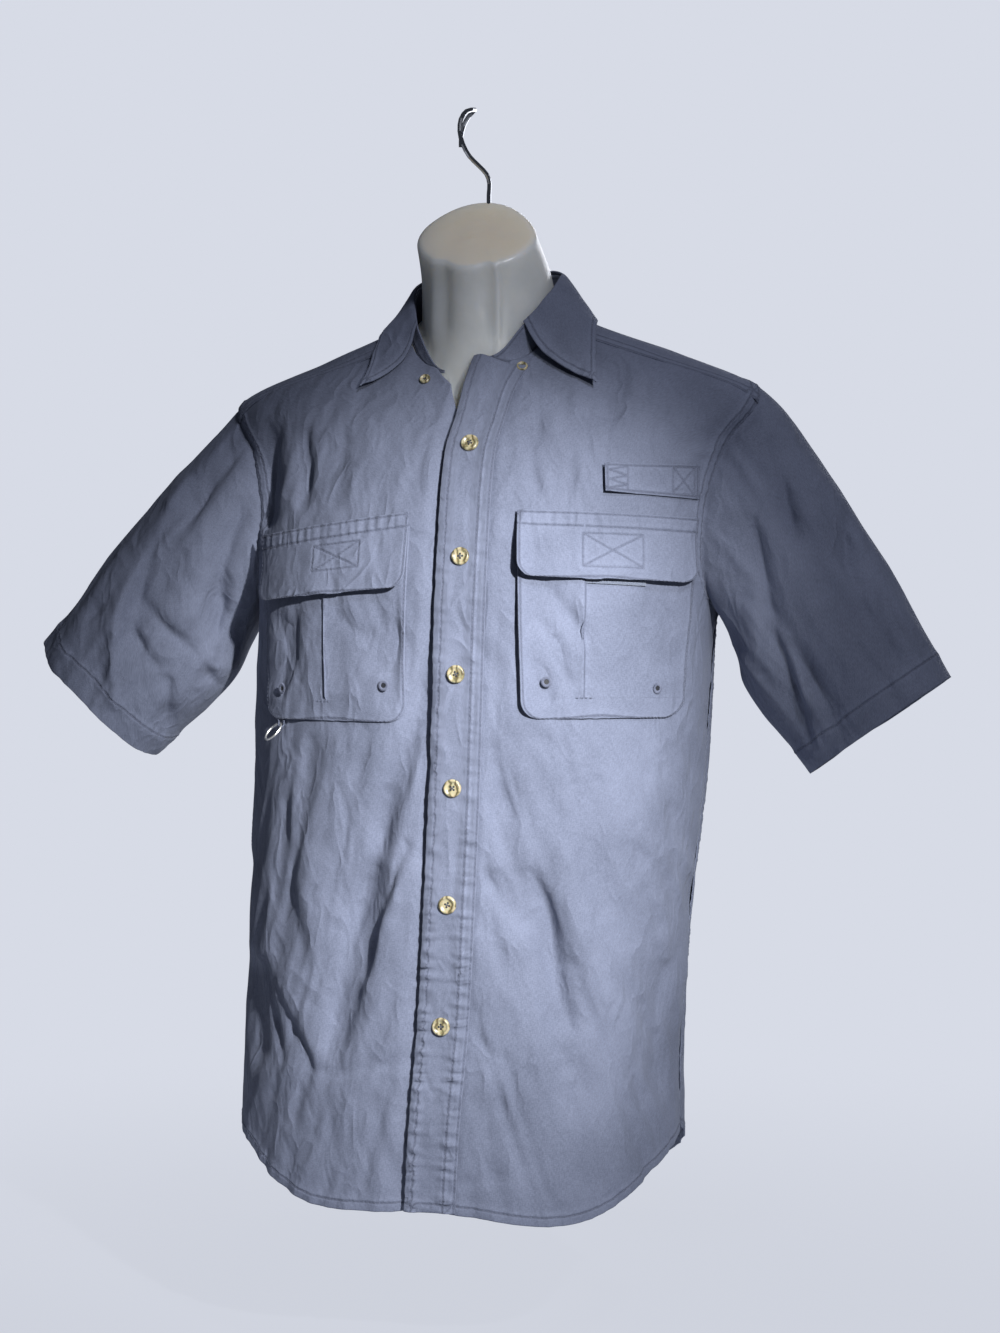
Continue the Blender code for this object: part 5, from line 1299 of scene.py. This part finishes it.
def formShoulders(z):
    half, middle, ridge, front, back = readTable(shirtBody["rings"], min(z + 3.2, -151.0))
    shrink = mix(4.5, 17.0, ease((-205.0 - z) / 80.0)) + 13.0 * ease((-360.0 - z) / 90.0)
    narrow = 0.4 + 24.0 * ease((-236.0 - z) / 40.0)
    s, c, power = np.sin(angles), np.cos(angles), shirtBody["roundness"]
    depth, width = np.where(c > 0.0, front, back) - shrink, half - narrow
    reach = ((np.abs(s) / width) ** power + (np.abs(c) / depth) ** power) ** (-1.0 / power)
    wide, neck = stack(middle + reach * s, ridge - reach * c, z), formColumn(np.full(turns, z))
    wideOut, neckOut = [np.linalg.norm(p[:, :2] - shirtBody["neckMiddle"], axis=1) for p in (wide, neck)]
    return np.where((wideOut > neckOut)[:, None], wide, neck)


loops = [formShoulders(z) for z in np.concatenate([np.linspace(formShape["bottom"], -330.0, 7), (
    -300.0, -275.0, -258.0, -249.0, -243.0, -236.0, -226.0, -214.0, -202.0, -191.0, -182.0)])]
top = np.full(turns, -120.0)
for _ in range(30):  # height of the rim where the neck meets the tilted plane, less the rim's radius
    edge = formColumn(top) - capMiddle
    top = capMiddle[2] - formShape["rim"] - edge[:, 1] * capNormal[1] / capNormal[2]
loops += [formColumn(mix(-176.0, top, t)) for t in np.linspace(0.0, 1.0, 24)]
side = loops[-1]
middle = side.mean(0)
inward = unit(middle - side)
for degrees in (15, 30, 45, 60, 75, 90):
    bend = math.radians(degrees)
    loops.append(side + (inward * (1.0 - math.cos(bend)) + capNormal * math.sin(bend)) * formShape["rim"])
flat = loops[-1]
for share in (0.93, 0.84, 0.72, 0.58, 0.43, 0.28, 0.14, 0.05):
    ring = flat.mean(0) + (flat - flat.mean(0)) * share
    swell = np.array([noise.noise(Vector(p) / 21.0) for p in ring]) * 1.3 * (1.0 - share) ** 0.5
    loops.append(ring + capNormal * (swell + 1.2 * (1.0 - share * share))[:, None])
formBody, rings = bmesh.new(), []
for loop in loops:
    ring = [formBody.verts.new(((x + shirtBody["shift"]) * mm, y * mm, z * mm)) for x, y, z in loop]
    rings.append([formBody.edges.new((a, b)) for a, b in zip(ring, ring[1:] + ring[:1])])
for low, high in zip(rings, rings[1:]):
    bmesh.ops.bridge_loops(formBody, edges=low + high)
for ring in (rings[0], rings[-1]):
    bmesh.ops.contextual_create(formBody, geom=ring)
bmesh.ops.recalc_face_normals(formBody, faces=formBody.faces)
finishPiece("form_moulding", formBody, frostedPlastic("blow-moulded polyethylene"), "torso_form")


def platedWire(name, colour, roughness, scratch):
    # Drawn steel wire with bright plating: a mirror with fine draw lines that soften its highlights.
    made, tree, shader, place = newMaterial(name, {"Metallic": 1.0, "Base Color": hexColour(colour)})
    marks = addNode(tree, "TexNoise", {"Vector": place, "Scale": scratch, "Detail": 4.0})
    ramp = addNode(tree, "MapRange", {0: marks, 3: roughness * 0.7, 4: roughness * 1.5})
    bump = addNode(tree, "Bump", {"Height": marks, "Strength": 0.12, "Distance": 0.1 * mm})
    plug(tree, shader, {"Roughness": ramp, "Normal": bump})
    return made


for node, material in (("form_hook", platedWire("chromed steel wire", "#b4b6ba", 0.14, 700.0)),
                       ("tool_ring", platedWire("nickelled steel wire", "#f0f0ec", 0.4, 900.0))):
    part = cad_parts[node]
    part = part if isinstance(part, bpy.types.Object) else bpy.data.objects[node]
    for slot in part.material_slots:
        slot.material = material

for name, held, rest in (("front_right", "draped", "torso_form"), ("front_left", "draped", "torso_form"),
                         ("back", "draped", "torso_form"), ("yoke", "laid", "torso_form"),
                         ("sleeve_right", "hung", "front_right"), ("sleeve_left", "hung", "front_left"),
                         ("collar_stand", "folded", "torso_form"), ("collar", "folded", "collar_stand"),
                         ("placket", "laid", "front_left"), ("pocket_right", "laid", "front_right"),
                         ("flap_right", "laid", "pocket_right"), ("pocket_left", "laid", "front_left"),
                         ("flap_left", "laid", "pocket_left"), ("rod_tab", "laid", "front_left"),
                         ("loop_patch_left", "laid", "pocket_left")):
    wide, tall, area = pieces[name].cut
    min(area, wide * tall) * mm * mm
    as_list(pieces[name].parts)
    print("cloth", name, "cut mm", round(float(wide), 1), round(float(tall), 1), "area m2", round(area * 1e-6, 4))

print("stage: floor, light and camera")
studio = {"backdrop": "#d7dbe6", "floorHeight": -1.02, "distance": 2.0, "azimuth": 12.0, "aim": (0.0215, 0.0, -0.463),
          "lens": 86.4, "floorRadius": 1.6, "glowShare": 0.95, "glow": 0.94, "ambient": 0.08, "keyNarrow": 0.73}
floorMesh = bmesh.new()
bmesh.ops.create_circle(floorMesh, cap_ends=True, segments=96, radius=studio["floorRadius"],
                        matrix=Matrix.Translation((0.0, 0.0, studio["floorHeight"])))
mesh = bpy.data.meshes.new("floor")
floorMesh.to_mesh(mesh)
floorMesh.free()
floor = bpy.data.objects.new("floor", mesh)
scene.collection.objects.link(floor)
paper, tree, shader, place = newMaterial("painted studio floor", {
    "Base Color": hexColour(studio["backdrop"]), "Roughness": 0.9})
flatPlace = addNode(tree, "Mapping", {"Vector": place, "Scale": (1.0, 1.0, 0.0)})
away = addNode(tree, "VectorMath", {0: flatPlace}, operation="LENGTH").outputs["Value"]
edge = addNode(tree, "MapRange", {0: away, 1: 0.25, 2: 1.5}, interpolation_type="SMOOTHSTEP")
glow = addNode(tree, "Emission", {"Color": hexColour(studio["backdrop"]), "Strength": studio["glow"]})
soft = addNode(tree, "MixShader", {0: studio["glowShare"], 1: shader, 2: glow})
mixed = addNode(tree, "MixShader", {0: edge, 1: soft, 2: addNode(tree, "BsdfTransparent")})
plug(tree, tree.nodes["Material Output"], {"Surface": mixed})
mesh.materials.append(paper)

world = bpy.data.worlds.new("studio")
world.use_nodes = True
scene.world = world
tree = world.node_tree
seen = plug(tree, tree.nodes["Background"], {"Color": hexColour(studio["backdrop"])})
ambient = addNode(tree, "Background", {"Color": hexColour("#c9d2e6"), "Strength": studio["ambient"]})
ray = addNode(tree, "LightPath").outputs["Is Camera Ray"]
plug(tree, tree.nodes["World Output"], {"Surface": addNode(tree, "MixShader", {0: ray, 1: ambient, 2: seen})})

lamps = {
    # kind, place, what it faces, width or cone in degrees, power, colour
    "key": ("SPOT", (0.90, -1.33, 0.12), (-0.074, 0.0, -0.64), 28.5, 278.0, "#fffefb"),
    "fill": ("AREA", (0.78, -1.1, 0.72), (0.0, 0.0, -0.4), 0.2, 10.5, "#f4f6ff"),
    "rear": ("AREA", (0.35, 1.7, 0.1), (0.0, 0.0, -0.45), 1.3, 16.0, "#f4f6ff"),
}
for name, (kind, spot, target, size, power, colour) in lamps.items():
    data = bpy.data.lights.new(name, kind)
    if kind == "SPOT":
        data.spot_size, data.spot_blend, data.shadow_soft_size = math.radians(size), 1.0, 0.03
    else:
        data.size = size
    data.energy, data.color = power, hexColour(colour)[:3]
    lamp = bpy.data.objects.new(name, data)
    lamp.location = spot
    lamp.rotation_euler = (Vector(target) - Vector(spot)).to_track_quat("-Z", "Y").to_euler()
    lamp.scale.x = studio["keyNarrow"] if kind == "SPOT" else 1.0  # an upright oval pool of light
    scene.collection.objects.link(lamp)

scene.view_settings.view_transform = "Standard"
turn = math.radians(studio["azimuth"])
data = bpy.data.cameras.new("photo view")
data.sensor_fit, data.sensor_width, data.lens = "HORIZONTAL", 36.0, studio["lens"]
camera = bpy.data.objects.new("photo view", data)
camera.location = Vector(studio["aim"]) + Vector((math.sin(turn), -math.cos(turn), 0.0)) * studio["distance"]
camera.rotation_euler = (math.pi / 2.0, 0.0, turn)
scene.collection.objects.link(camera)
scene.camera = camera
